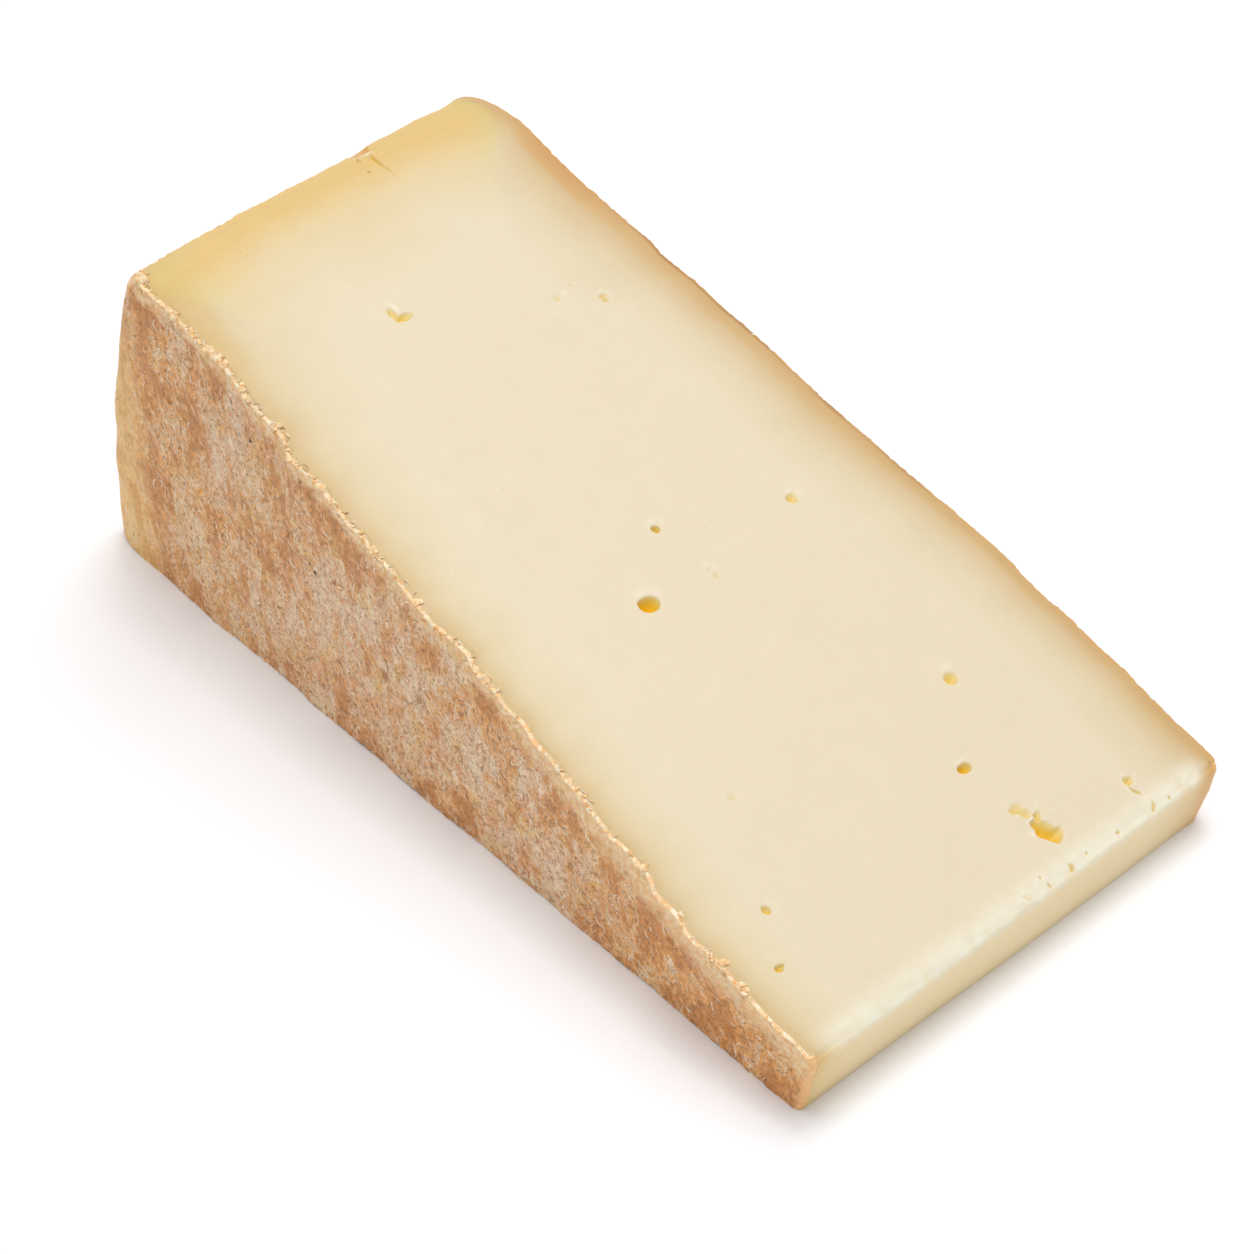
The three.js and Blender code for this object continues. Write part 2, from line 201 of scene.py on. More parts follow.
def noise(x, y, z, pitch):
    """Smooth noise from -1 to 1 that changes over about `pitch` millimetres."""
    scaled = [np.asarray(c, float) / pitch for c in np.broadcast_arrays(x, y, z)]
    cell = [np.floor(c) for c in scaled]
    weight = [smoothstep(c - base, 0, 1) for c, base in zip(scaled, cell)]
    total = 0.0
    for corner in range(8):
        bits = (corner & 1, (corner >> 1) & 1, corner >> 2)
        share = 1.0
        for bit, w in zip(bits, weight):
            share = share * (w if bit else 1 - w)
        total = total + share * cell_value(*(base + bit for base, bit in zip(cell, bits)))
    return total


def knobs(x, y, z, layers, base=0.0):
    """Noise in layers of (pitch, size) round a base."""
    return sum((size * noise(x, y, z, pitch) for pitch, size in layers), base)


def wave(waves, x, w):
    return sum(
        size * (1 - np.abs(w - row)) ** 2 * np.exp(-(((x - middle) / reach) ** 2))
        for middle, reach, size, row in waves
    )


def upper_cut_height(x):
    return (CUTS_MEET_X - x) * CUT_SLOPE


def rim_x(v, w):
    """Where the rim lies at share v across the width (-1 to 1) and row w."""
    lean = RIM_LEAN * w**RIM_LEAN_POWER
    worn = RIM_EDGE_ROUND * smoothstep(w, RIM_EDGE_ROW, 1) ** 2
    return RIM_FOOT - RIM_SKEW * (v + 1) / 2 - RIM_BULGE * (1 - v * v) + lean + worn


def nose_x(v, w):
    worn = NOSE_EDGE_ROUND * smoothstep(w, NOSE_EDGE_ROW, 1) ** 2
    return LENGTH + w * lerp(NOSE_LEANS[0], NOSE_LEANS[1], (v + 1) / 2) - worn


def half_width(x, v, w):
    outwards = np.where(v < 0, wave(LEFT_WAVES, x, w), wave(RIGHT_WAVES, x, w))
    return lerp(RIM_WIDTH, NOSE_WIDTH, x / LENGTH) / 2 + outwards


def place_on_wedge(square_x, v, w):
    """Moves a point of the squared-up outline to its place in plan at row w."""
    x = lerp(rim_x(v, w), nose_x(v, w), square_x / LENGTH)
    return x, v * half_width(x, v, w)


# ---------------- the path round the rind
# It starts on the nose at the right corner, runs along the right side to the heel, across
# the heel and back along the left side, and ends on the nose at the left corner.

HALF = RIM_WIDTH / 2
STRIP = 0.8                      # length that the path spends on the nose at each end
PATH = (
    ("strip", NOSE_RIGHT, 1, STRIP),
    ("arc", NOSE_RIGHT, 1, 2.4),
    ("side", (NOSE_RIGHT, HEEL_RIGHT), 1, 150.0),
    ("arc", HEEL_RIGHT, 1, 15.0),
    ("heel", (HEEL_RIGHT, HEEL_LEFT), 0, 66.0),
    ("arc", HEEL_LEFT, -1, 6.0),
    ("side", (HEEL_LEFT, NOSE_LEFT), -1, 155.0),
    ("arc", NOSE_LEFT, -1, 1.6),
    ("strip", NOSE_LEFT, -1, STRIP),
)
STATIONS = np.concatenate([[0.0], np.cumsum([part[3] for part in PATH])])
PATH_END = STATIONS[-1]
RIGHT_START, RIGHT_END = STATIONS[2], STATIONS[3]
HEEL_START, HEEL_END = STATIONS[4], STATIONS[5]
LEFT_START, LEFT_END = STATIONS[6], STATIONS[7]


def radii(corner, w):
    foot, top = corner
    return lerp(foot[0], top[0], w), lerp(foot[1], top[1], w)


def strip_inset(corner, w, thickness):
    """How far in from the flat side the rind's edge shows on the nose."""
    return np.maximum(thickness, radii(corner, w)[1] + STRIP_ROOM)


def square_point(s, w, thickness):
    """The squared-up outline's (x, v) at station s of the path."""
    s, w = np.broadcast_arrays(np.asarray(s, float), np.asarray(w, float))
    part = np.clip(np.searchsorted(STATIONS, s, side="right") - 1, 0, len(PATH) - 1)
    x, v = np.empty_like(s), np.empty_like(s)
    for index, (kind, corner, side, length) in enumerate(PATH):
        here = part == index
        share, row = (s[here] - STATIONS[index]) / length, w[here]
        if kind == "strip":
            outer = 1 - radii(corner, row)[1] / HALF
            inner = 1 - strip_inset(corner, row, thickness) / HALF
            x[here] = LENGTH
            v[here] = side * lerp(*((inner, outer) if side > 0 else (outer, inner)), share)
        elif kind == "arc":
            rx, ry = radii(corner, row)
            at_nose = corner in (NOSE_LEFT, NOSE_RIGHT)
            # The arc runs from end to side on the way out and from side to end on the way in.
            onto_side = (side > 0) == at_nose
            angle = share * math.pi / 2
            turned = (1 - np.cos(angle), 1 - np.sin(angle))
            along_x, along_y = turned if onto_side else turned[::-1]
            x[here] = LENGTH - rx * along_x if at_nose else rx * along_x
            v[here] = side * (1 - ry * along_y / HALF)
        elif kind == "side":
            first, last = (radii(c, row)[0] for c in corner)
            ends = (LENGTH - first, last) if side > 0 else (first, LENGTH - last)
            x[here] = lerp(*ends, share)
            v[here] = side
        else:
            first, last = (radii(c, row)[1] for c in corner)
            x[here] = 0.0
            v[here] = lerp(1 - first / HALF, -1 + last / HALF, share)
    return x, v


FOOT_GAP = 0.45                  # how far the ragged foot of the rind lifts off the floor
FOOT_ROOM = 1.3                  # and how high up the wall that reaches
FOOT_NOTCHES = ((7, 2.2, 1.0), (3, 0.9, 0.5))    # layer of the noise, pitch, size
TUCK = 0.25                      # how deep the rind's hidden edge goes under the paste
TUCK_STRETCH = 0.3
STRIP_ROOM = 0.25                # what the strip on the nose is wider than the corner's rounding


def wall_point(s, w, thickness):
    """A point of the rind's outer face, as (x, y, z) and its outward direction in plan."""
    s, w = np.broadcast_arrays(np.asarray(s, float), np.asarray(w, float))
    step = 0.2
    before = place_on_wedge(*square_point(np.maximum(s - step, 0), w, thickness), w)
    after = place_on_wedge(*square_point(np.minimum(s + step, PATH_END), w, thickness), w)
    x, y = place_on_wedge(*square_point(s, w, thickness), w)
    nx, ny = after[1] - before[1], before[0] - after[0]
    size = np.hypot(nx, ny)
    nx, ny = nx / size, ny / size
    z = w * upper_cut_height(x)
    on_rind = smoothstep(LENGTH - x, *RIND_ENDS)
    calm = lerp(CALM_FOOT[1], 1, smoothstep(w, 0, CALM_FOOT[0]))
    push = lerp(knobs(x, y, z, PASTE_KNOBS), calm * knobs(x, y, z, RIND_KNOBS), on_rind)
    ragged = LIP_SIZE * on_rind * smoothstep(w, LIP_ROW, 1) * noise(x, 0, 0, LIP_PITCH)
    push = push + np.where(y < 0, ragged, 0)
    tuck = TUCK * (1 - np.clip(np.minimum(s, PATH_END - s) / TUCK_STRETCH, 0, 1))
    x, y = x + push * nx - tuck, y + push * ny
    z = w * upper_cut_height(x)
    notches = sum(size * noise(x, y, layer, pitch) for layer, pitch, size in FOOT_NOTCHES)
    lift = FOOT_GAP * np.maximum(0, notches)
    z = z + on_rind * lift * (1 - smoothstep(z, 0, FOOT_ROOM))
    return np.stack([x, y, z], -1), np.stack([nx, ny], -1)


def nose_edge_share(corner, w, thickness, overlap):
    """How far across the nose the paste shows, as a share of half the width."""
    return 1 - (strip_inset(corner, w, thickness) - overlap) / HALF


def inner_point(s, w, thickness, overlap=0.0):
    """A point of the rind's hidden inner face, or `overlap` further out, at row w."""
    s, w = np.broadcast_arrays(np.asarray(s, float), np.asarray(w, float))
    on_wall = np.clip(s, RIGHT_START, LEFT_END)
    point, out = wall_point(on_wall, w, thickness)
    inner = point[..., :2] - (thickness - overlap) * out
    for side, start, corner, shape in (
        (1, 0.0, RIGHT_START, NOSE_RIGHT), (-1, PATH_END, LEFT_END, NOSE_LEFT),
    ):
        here = s < corner if side > 0 else s > corner
        share = ((s[here] - start) / (corner - start))[:, None]
        if overlap:
            v = side * nose_edge_share(shape, w[here], thickness, overlap)
            anchor = nose_point(v, w[here])[..., :2]
        else:
            anchor = wall_point(np.full_like(w[here], start), w[here], thickness)[0][..., :2]
        inner[here] = lerp(anchor, inner[here], share)
    z = w * upper_cut_height(inner[..., 0])
    return np.concatenate([inner, z[..., None]], -1)


def nose_point_plan(v, w):
    """A point of the nose in plan, at share v across the width."""
    x, y = place_on_wedge(np.full_like(v, LENGTH), v, w)
    return x + knobs(x, y, w * upper_cut_height(x), PASTE_KNOBS), y


def nose_point(v, w):
    x, y = nose_point_plan(v, w)
    return np.stack([x, y, w * upper_cut_height(x)], -1)


# ---------------- sheets of triangles


def hex_points(low, high, pitch):
    """A triangular grid of points inside a rectangle."""
    rows = np.arange(low[1], high[1], pitch * math.sqrt(3) / 2)
    columns = np.arange(low[0], high[0], pitch)
    x, y = np.meshgrid(columns, rows)
    x = x + (np.arange(len(rows)) % 2)[:, None] * pitch / 2
    return np.stack([x.ravel(), y.ravel()], -1)


def lattice(low, high, pitch):
    """The part of one endless triangular grid that lies inside a rectangle."""
    rise = pitch * math.sqrt(3) / 2
    rows = np.arange(math.ceil(low[1] / rise), math.floor(high[1] / rise) + 1)
    columns = np.arange(math.ceil(low[0] / pitch), math.floor(high[0] / pitch) + 1)
    i, j = np.meshgrid(columns, rows)
    return np.stack([((i + 0.5 * (j % 2)) * pitch).ravel(), (j * rise).ravel()], -1)


def stretch(start, end, pitch):
    """Even stations from start to end, about `pitch` apart, both ends included."""
    return np.linspace(start, end, max(2, math.ceil(abs(end - start) / pitch) + 1))


def encloses(loop, points):
    """Which points lie inside the closed loop."""
    found = np.zeros(len(points), bool)
    for (x0, y0), (x1, y1) in zip(loop, np.roll(loop, -1, axis=0)):
        crosses = (y0 > points[:, 1]) != (y1 > points[:, 1])
        if y0 != y1:
            found ^= crosses & (points[:, 0] < x0 + (x1 - x0) * (points[:, 1] - y0) / (y1 - y0))
    return found


def within(faces, count):
    """Which triangles lie inside the loop, which is the first `count` points in order."""
    ends = np.sort(np.stack([faces, np.roll(faces, -1, axis=1)], -1), axis=-1)
    gap = ends[..., 1] - ends[..., 0]
    chord = (ends[..., 1] < count) & (gap != 1) & (gap != count - 1)
    beside = {}
    for face, side in zip(*np.nonzero(chord)):
        beside.setdefault(tuple(ends[face, side]), []).append(face)
    kept = (faces >= count).any(1)
    waiting = [face for pair in beside.values() for face in pair if kept[face]]
    sides_of = {}
    for pair in beside.values():
        for face in pair:
            sides_of.setdefault(face, []).append(pair)
    while waiting:
        for pair in sides_of[waiting.pop()]:
            for face in pair:
                if not kept[face]:
                    kept[face] = True
                    waiting.append(face)
    return kept


def fill(loop, inside):
    """Triangles over the closed loop and the points inside it: (points, faces)."""
    count = len(loop)
    given = np.concatenate([loop, inside])
    points = [Vector(p) for p in given.tolist()]
    edges = [(i, (i + 1) % count) for i in range(count)]
    found, _, faces, *_ = delaunay_2d_cdt(points, edges, [], 1, 1e-7, False)
    if len(found) != len(given):
        raise RuntimeError("the points of a sheet cross or coincide")
    faces = np.array(faces)
    used, faces = np.unique(faces[within(faces, count)], return_inverse=True)
    return given[used], faces.reshape(-1, 3)


def grid_faces(rows, columns):
    """Faces of a grid of rows x columns points."""
    at = np.arange(rows * columns).reshape(rows, columns)
    a, b, c, d = at[:-1, :-1], at[:-1, 1:], at[1:, 1:], at[1:, :-1]
    halves = (np.stack([a, b, c], -1), np.stack([a, c, d], -1))
    return np.concatenate([half.reshape(-1, 3) for half in halves])


SAME_POINT = 1e-3                # points closer than this, in millimetres, become one


def solid(name, sheets, attributes):
    """One closed mesh from sheets of (points, faces, {attribute: values}), in metres."""
    points = np.concatenate([s[0] for s in sheets])
    start = np.cumsum([0] + [len(s[0]) for s in sheets[:-1]])
    faces = np.concatenate([s[1] + base for s, base in zip(sheets, start)])
    key = np.round(points / SAME_POINT).astype(np.int64)
    _, first, same = np.unique(key, axis=0, return_index=True, return_inverse=True)
    faces = same.reshape(-1)[faces]
    whole = (faces[:, 0] != faces[:, 1]) & (faces[:, 1] != faces[:, 2]) & (faces[:, 0] != faces[:, 2])
    faces = faces[whole]
    mesh = bpy.data.meshes.new(name)
    mesh.from_pydata(((points[first] + DATUM) * MM).tolist(), [], faces.tolist())
    for label in attributes:
        values = np.concatenate([np.broadcast_to(s[2].get(label, 0.0), len(s[0])) for s in sheets])
        highest = np.full(len(first), -1e9)
        np.maximum.at(highest, same.reshape(-1), values)
        layer = mesh.attributes.new(label, "FLOAT", "POINT")
        layer.data.foreach_set("value", highest.astype(np.float32))
    body = bmesh.new()
    body.from_mesh(mesh)
    bmesh.ops.recalc_face_normals(body, faces=body.faces)
    body.to_mesh(mesh)
    body.free()
    mesh.update()
    piece = bpy.data.objects.new(name, mesh)
    bpy.context.scene.collection.objects.link(piece)
    return piece


def coordinates(mesh):
    """Vertex places in the wedge's own millimetres."""
    found = np.empty(len(mesh.vertices) * 3, np.float32)
    mesh.vertices.foreach_get("co", found)
    return found.reshape(-1, 3).astype(float) / MM - DATUM


def write_coordinates(mesh, at):
    """Puts the vertices at the wedge's own millimetres."""
    mesh.vertices.foreach_set("co", ((at + DATUM) * MM).astype(np.float32).ravel())
    mesh.update()


def attribute_values(mesh, label):
    found = np.empty(len(mesh.vertices), np.float32)
    mesh.attributes[label].data.foreach_get("value", found)
    return found.astype(float)


def write_attribute(mesh, label, values):
    layer = mesh.attributes.get(label) or mesh.attributes.new(label, "FLOAT", "POINT")
    layer.data.foreach_set("value", np.asarray(values, np.float32))


def bake(piece):
    """Makes what the piece's modifiers show its plain mesh."""
    graph = bpy.context.evaluated_depsgraph_get()
    made = bpy.data.meshes.new_from_object(
        piece.evaluated_get(graph), preserve_all_data_layers=True, depsgraph=graph
    )
    piece.modifiers.clear()
    piece.data = made
    made.name = piece.name


def finish_piece(piece, angle, replaces=False):
    """Keeps the piece inside the solid's box, shades it and ties it to the frame."""
    mesh = piece.data
    at = np.empty(len(mesh.vertices) * 3, np.float32)
    mesh.vertices.foreach_get("co", at)
    at = np.clip(at.reshape(-1, 3), np.array(CAD_BOX[0]), np.array(CAD_BOX[1]))
    mesh.vertices.foreach_set("co", at.ravel().astype(np.float32))
    mesh.shade_smooth()
    mesh.set_sharp_from_angle(angle=angle)
    mesh.update()
    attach(piece, BODY)
    if replaces:
        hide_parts(NODE)


# ---------------- hollows of the cut face


def eye_depth(x, y, eye):
    """Depth of one eye: steep on the near side and fading on the far side."""
    middle_x, middle_y, length, width, depth = eye
    along, across = 2 * (x - middle_x) / length, 2 * (y - middle_y) / width
    lumpy = 1 + EYE_LUMPS[0] * noise(along + middle_x, across + middle_y, 0, EYE_LUMPS[1])
    along, across = along / lumpy - DEEPEST[0], across / lumpy - DEEPEST[1]
    size = np.maximum(along * along + across * across, 1e-9)
    facing = along * DEEPEST[0] + across * DEEPEST[1]
    offset = np.hypot(*DEEPEST)
    # 0 at the deepest point and 1 all round the rim.
    share = size / (np.sqrt(facing**2 + size * (1 - offset**2)) - facing)
    power = lerp(*EYE_WALLS, 0.5 - 0.5 * facing / (offset * np.sqrt(size)))
    return depth * np.clip(1 - share**EYE_FLOOR, 0, None) ** power


def crack_depth(x, y, rows):
    """Depth of one crack, given as rows of (x, crisp edge, faded edge, depth)."""
    at, crisp, faded, depth = zip(*rows)
    near, far, deep = (np.interp(x, at, column, left=column[0], right=column[-1])
                       for column in (crisp, faded, depth))
    share = (y - near) / (far - near)
    crisp_wall = np.clip(share / CRACK_CRISP, 0, 1) ** CRACK_WALLS[0]
    faded_wall = np.clip(1 - share, 0, 1) ** CRACK_WALLS[1]
    return deep * (crisp_wall * faded_wall) * ((x > at[0]) & (x < at[-1]))


def hollow_depth(x, y):
    """Depth of the cut face's eyes, dimples and cracks at each point."""
    deepest = np.zeros_like(x)
    for eye in EYES:
        near = (np.abs(x - eye[0]) < eye[2]) & (np.abs(y - eye[1]) < eye[3])
        deepest[near] = np.maximum(deepest[near], eye_depth(x[near], y[near], eye))
    size, pitch = TORN
    torn_x, torn_y = x + size * noise(x, y, 0, pitch), y + size * noise(x, y, 9, pitch)
    for rows in CRACKS:
        deepest = np.maximum(deepest, crack_depth(torn_x, torn_y, rows))
    return deepest


def hollow_boxes():
    """The rectangles that the hollows lie in, as (low x, low y, high x, high y)."""
    boxes = [(x - a / 2, y - b / 2, x + a / 2, y + b / 2) for x, y, a, b, _ in EYES]
    for rows in CRACKS:
        at, crisp, faded, _ = zip(*rows)
        boxes.append((at[0], min(crisp + faded), at[-1], max(crisp + faded)))
    return boxes


def heel_chip_depth(x, y, below):
    """How far the chipped edge of the heel is lowered, on top and down its outer face."""
    inwards = smoothstep(HEEL_CHIP_REACH[0] - x, 0, HEEL_CHIP_REACH[0] - HEEL_CHIP_REACH[1])
    downwards = np.clip(1 - below / HEEL_CHIP_DOWN, 0, 1)
    return np.interp(y, *HEEL_CHIP) * inwards * downwards * (x < HEEL_CHIP_REACH[0])


# ---------------- the rind's sheets
# A wall is unrolled to (station of the path, height) to be meshed, and then put in its place.

ROW_PITCH = 0.035                # steps up the upright ends of a sheet, as a share of their height
ROOM = 0.55                      # room between a sheet's border and the points inside, for a pitch of 1
ABOVE_ALL = 70.0                 # higher than any wall
NOSE_FADE = 2.5                  # the rind's relief fades out this close to the nose
LIP_REACH = 1.2                  # how far the torn lip reaches down the outer face
WALL_WEAR, RIM_WEAR = 0.4, 0.6   # how far an edge is worn, down the wall and across the rim
LIP_ACROSS = np.array([0, 0.1, 0.2, 0.32, 0.44, 0.56, 0.68, 0.8, 0.93, 1.0])
LIP_PROFILE = ((0, 0.3, 0.6, 0.9, 1), (0.6, 1, 0.6, 0.1, 0))
SOLE_ACROSS = np.array([0, 0.5, 1.0])


def along_path(pitches):
    """Stations round the whole path, with a pitch for each of its parts."""
    parts = [stretch(a, b, p)[:-1] for a, b, p in zip(STATIONS[:-1], STATIONS[1:], pitches)]
    return np.concatenate([*parts, [PATH_END]])


def off_the_ends(s):
    """0 at both ends of the path and 1 a little way in."""
    return np.clip(np.minimum(s, PATH_END - s) / 0.5, 0, 1)


def sheet_border(foot, top, top_height):
    """The closed border of an unrolled sheet: its foot, last end, top and first end."""
    rows = stretch(0, 1, ROW_PITCH)
    sides = (
        np.stack([foot, 0 * foot], -1),
        np.stack([0 * rows + foot[-1], rows * top_height[-1]], -1),
        np.stack([top, top_height], -1)[::-1],
        np.stack([0 * rows + foot[0], rows * top_height[0]], -1)[::-1],
    )
    return np.concatenate([side[:-1] for side in sides])


def spread(zones, top, top_height):
    """Points inside an unrolled sheet, for zones of (first station, last station, pitch)."""
    found = []
    for start, end, pitch in zones:
        grid = hex_points((start + pitch / 2, ROOM * pitch), (end - pitch / 2, ABOVE_ALL), pitch)
        found.append(grid[grid[:, 1] < np.interp(grid[:, 0], top, top_height) - ROOM * pitch])
    return np.concatenate(found)


def wall_height(s, thickness):
    return wall_point(s, 1.0, thickness)[0][..., 2]


def outer_face(border, top, top_height, thickness, fine, coarse):
    """The rind's outer face, meshed most finely on the side that shows most."""
    corner = (fine + coarse) / 2
    flat, faces = fill(border, spread((
        (0.1, RIGHT_START, 0.4), (RIGHT_START, RIGHT_END, coarse), (RIGHT_END, HEEL_START, coarse),
        (HEEL_START, HEEL_END - 12, coarse), (HEEL_END - 12, HEEL_END, corner),
        (HEEL_END, LEFT_START, fine), (LEFT_START, LEFT_END, fine), (LEFT_END, PATH_END - 0.1, 0.3),
    ), top, top_height))
    s, q = flat.T
    height = wall_height(s, thickness)
    places, _ = wall_point(s, q / height, thickness)
    on_left = (s > HEEL_END).astype(float)
    return places, faces, {
        "outer": smoothstep(LENGTH - places[:, 0], 0, NOSE_FADE),
        "lip": on_left * 0.5 * (1 - smoothstep(height - q, 0, LIP_REACH)),
        "wear": (1 - on_left) * (1 - smoothstep(height - q, 0, WALL_WEAR)),
    }


def rim_face(top, thickness):
    """The rind's rim round the upper cut face; on the left only its inner half looks like paste."""
    outside = wall_point(top, 1.0, thickness)[0]
    inside = inner_point(top, 1.0, thickness)
    places = lerp(outside[None], inside[None], LIP_ACROSS[:, None, None])
    places[..., 2] = upper_cut_height(places[..., 0])
    places[-1, :, 2] -= TUCK * off_the_ends(top)
    on_left = (top > HEEL_END).astype(float)
    like_paste = np.where(on_left, (LIP_ACROSS > 0.5)[:, None], (LIP_ACROSS > 0)[:, None])
    return places.reshape(-1, 3), grid_faces(len(LIP_ACROSS), len(top)), {
        "lip": (np.interp(LIP_ACROSS, *LIP_PROFILE)[:, None] * on_left).ravel(),
        "wear": ((1 - smoothstep(LIP_ACROSS * thickness, 0, RIM_WEAR))[:, None] * (1 - on_left)).ravel(),
        "rim": like_paste.astype(float).ravel(),
    }


def hidden_face(border, top, top_height, thickness):
    """The rind's inner face, out of sight against the paste."""
    flat, faces = fill(border, spread(((1, PATH_END - 1, 4.0),), top, top_height))
    s, q = flat.T
    w = q / wall_height(s, thickness)
    places = inner_point(s, w, thickness)
    places[:, 2] -= TUCK * off_the_ends(s) * (w == 1)
    return places, faces[:, ::-1], {}


def sole_face(foot, thickness):
    """The rind's foot, from its outer to its inner face."""
    outside, inside = wall_point(foot, 0.0, thickness)[0], inner_point(foot, 0.0, thickness)
    places = lerp(outside[None], inside[None], SOLE_ACROSS[:, None, None])
    return places.reshape(-1, 3), grid_faces(len(SOLE_ACROSS), len(foot))[:, ::-1], {}


def rind_sheets(thickness, fine, coarse):
    """The rind's outer face, its rim round the cut face, its hidden inner face and its foot."""
    top = along_path((0.2, 0.3, coarse * 0.8, 0.6, 0.32, 0.3, fine * 0.7, 0.2, 0.2))
    foot = along_path((0.3, 0.4, coarse, 0.8, coarse, 0.5, fine * 1.2, 0.3, 0.3))
    top_height = wall_height(top, thickness)
    border = sheet_border(foot, top, top_height)
    return (
        outer_face(border, top, top_height, thickness, fine, coarse), rim_face(top, thickness),
        hidden_face(border, top, top_height, thickness), sole_face(foot, thickness),
    )


# ---------------- the paste's sheets

NOSE_SPAN, NOSE_UNROLLED = 40.0, 12.0    # half width and height of the unrolled nose
NOSE_BAND = 3.0                  # the strip along the nose edge that is meshed more finely
NOSE_AREA = ((156, -42), (163, 42))
FACE_AREA = ((-20, -45), (165, 45))
SIDE_PITCH, BASE_PITCH = 3.0, 2.2


def edge_distances(x, y, z):
    """Distances in plan from the left side, the right side, the heel and the nose, at that height."""
    w = np.clip(z / upper_cut_height(x), 0, 1)
    v = np.clip(y / half_width(x, np.sign(y), w), -1, 1)
    return {
        "left": y + half_width(x, -1.0, w), "right": half_width(x, 1.0, w) - y,
        "heel": x - rim_x(v, w), "nose": nose_x(v, w) - x,
    }


def nose_at(u, w, thickness, overlap):
    """A point of the paste's nose, at share u (-1 to 1) of the way between the rind's two ends."""
    share = np.where(u > 0, nose_edge_share(NOSE_RIGHT, w, thickness, overlap),
                     nose_edge_share(NOSE_LEFT, w, thickness, overlap))
    return nose_point(u * share, w)


def nose_face(across, across_foot, thickness, overlap):
    """The narrow end face."""
    border = sheet_border(across_foot * NOSE_SPAN, across * NOSE_SPAN, np.full(len(across), NOSE_UNROLLED))
    grid = hex_points((-NOSE_SPAN + 0.3, 0.25), (NOSE_SPAN - 0.2, NOSE_UNROLLED - 0.2), 0.36)
    flat, faces = fill(border, grid)
    u, w = flat[:, 0] / NOSE_SPAN, flat[:, 1] / NOSE_UNROLLED
    return nose_at(u, w, thickness, overlap), faces, {"front": 1.0}


def side_face(foot, top, thickness, overlap):
    """The paste's side, hidden just inside the rind."""
    def height(s):
        return inner_point(s, 1.0, thickness, overlap)[..., 2]

    top_height = height(top)
    grid = hex_points((2, SIDE_PITCH / 2), (PATH_END - 4, ABOVE_ALL), SIDE_PITCH)
    grid = grid[grid[:, 1] < np.interp(grid[:, 0], top, top_height) - SIDE_PITCH / 2]
    flat, faces = fill(sheet_border(foot, top, top_height), grid)
    s, q = flat.T
    return inner_point(s, q / height(s), thickness, overlap), faces, {}


def lattice_at_hollows(pitch, reach, along_nose):
    """Lattice points round each hollow, and along the nose edge if asked, each of them once."""
    areas = [((a - reach, b - reach), (c + reach, d + reach)) for a, b, c, d in hollow_boxes()]
    if along_nose:
        areas.append(NOSE_AREA)
    grid = np.concatenate([lattice(low, high, pitch) for low, high in areas])
    _, single = np.unique(np.round(grid / (pitch * 0.25)), axis=0, return_index=True)
    return grid[np.sort(single)]


def apart_from_hollows(grid, to_nose):
    """Distance in plan from the nearest hollow, where the strip along the nose edge counts as close."""
    apart = np.maximum(to_nose - NOSE_BAND + 1.0, 0.35)
    for a, b, c, d in hollow_boxes():
        gap_x = np.maximum(np.maximum(a - grid[:, 0], grid[:, 0] - c), 0)
        gap_y = np.maximum(np.maximum(b - grid[:, 1], grid[:, 1] - d), 0)
        apart = np.minimum(apart, np.hypot(gap_x, gap_y))
    return apart


def cut_face(outline, thickness, fine, middle, coarse):
    """The upper cut face: fine at the hollows, coarse away from them and middling between."""
    inside = []
    for pitch, nearest, farthest in ((coarse, 1.0, math.inf), (middle, 0.3, 1.0), (fine, -1.0, 0.3)):
        if pitch == coarse:
            grid = lattice(*FACE_AREA, pitch)
        else:
            grid = lattice_at_hollows(pitch, farthest, pitch == middle)
        away = edge_distances(grid[:, 0], grid[:, 1], upper_cut_height(grid[:, 0]))
        apart = apart_from_hollows(grid, away["nose"])
        keep = (apart >= nearest) & (apart < farthest) & (away["nose"] > 0.6 * pitch)
        for edge in ("left", "right", "heel"):
            keep &= away[edge] > thickness + min(0.6 * pitch, 0.4)
        inside.append(grid[keep])
    inside = np.concatenate(inside)
    flat, faces = fill(outline, inside[encloses(outline, inside)])
    return np.concatenate([flat, upper_cut_height(flat[:, :1])], -1), faces, {"upper": 1.0}


def base_face(outline):
    """The cut face that the wedge lies on."""
    grid = hex_points(*FACE_AREA, BASE_PITCH)
    away = edge_distances(grid[:, 0], grid[:, 1], 0 * grid[:, 0])
    grid = grid[np.min(list(away.values()), axis=0) > BASE_PITCH]
    flat, faces = fill(outline, grid[encloses(outline, grid)])
    return np.concatenate([flat, 0 * flat[:, :1]], -1), faces[:, ::-1], {}


def paste_sheets(thickness, overlap, fine, middle, coarse):
    """The paste's nose, hidden sides, upper cut face and the cut face it lies on."""
    top = along_path((0.3, 0.4, 0.8, 0.8, 0.8, 0.5, 0.5, 0.3, 0.3))
    foot = along_path((0.4, 0.6, 2.0, 1.2, 2.0, 0.8, 2.0, 0.5, 0.4))
    across, across_foot = (stretch(-1, 1, pitch / NOSE_SPAN) for pitch in (0.22, 0.6))

    def outline(path, front, w):
        """The paste's outline in plan at row w."""
        side = inner_point(path, w, thickness, overlap)
        return np.concatenate([side[:-1, :2], nose_at(front, w, thickness, overlap)[:-1, :2]])

    return (
        nose_face(across, across_foot, thickness, overlap), side_face(foot, top, thickness, overlap),
        cut_face(outline(top, across, 1.0), thickness, fine, middle, coarse),
        base_face(outline(foot, across_foot, 0.0)),
    )


# ---------------- relief and the fields that colours follow

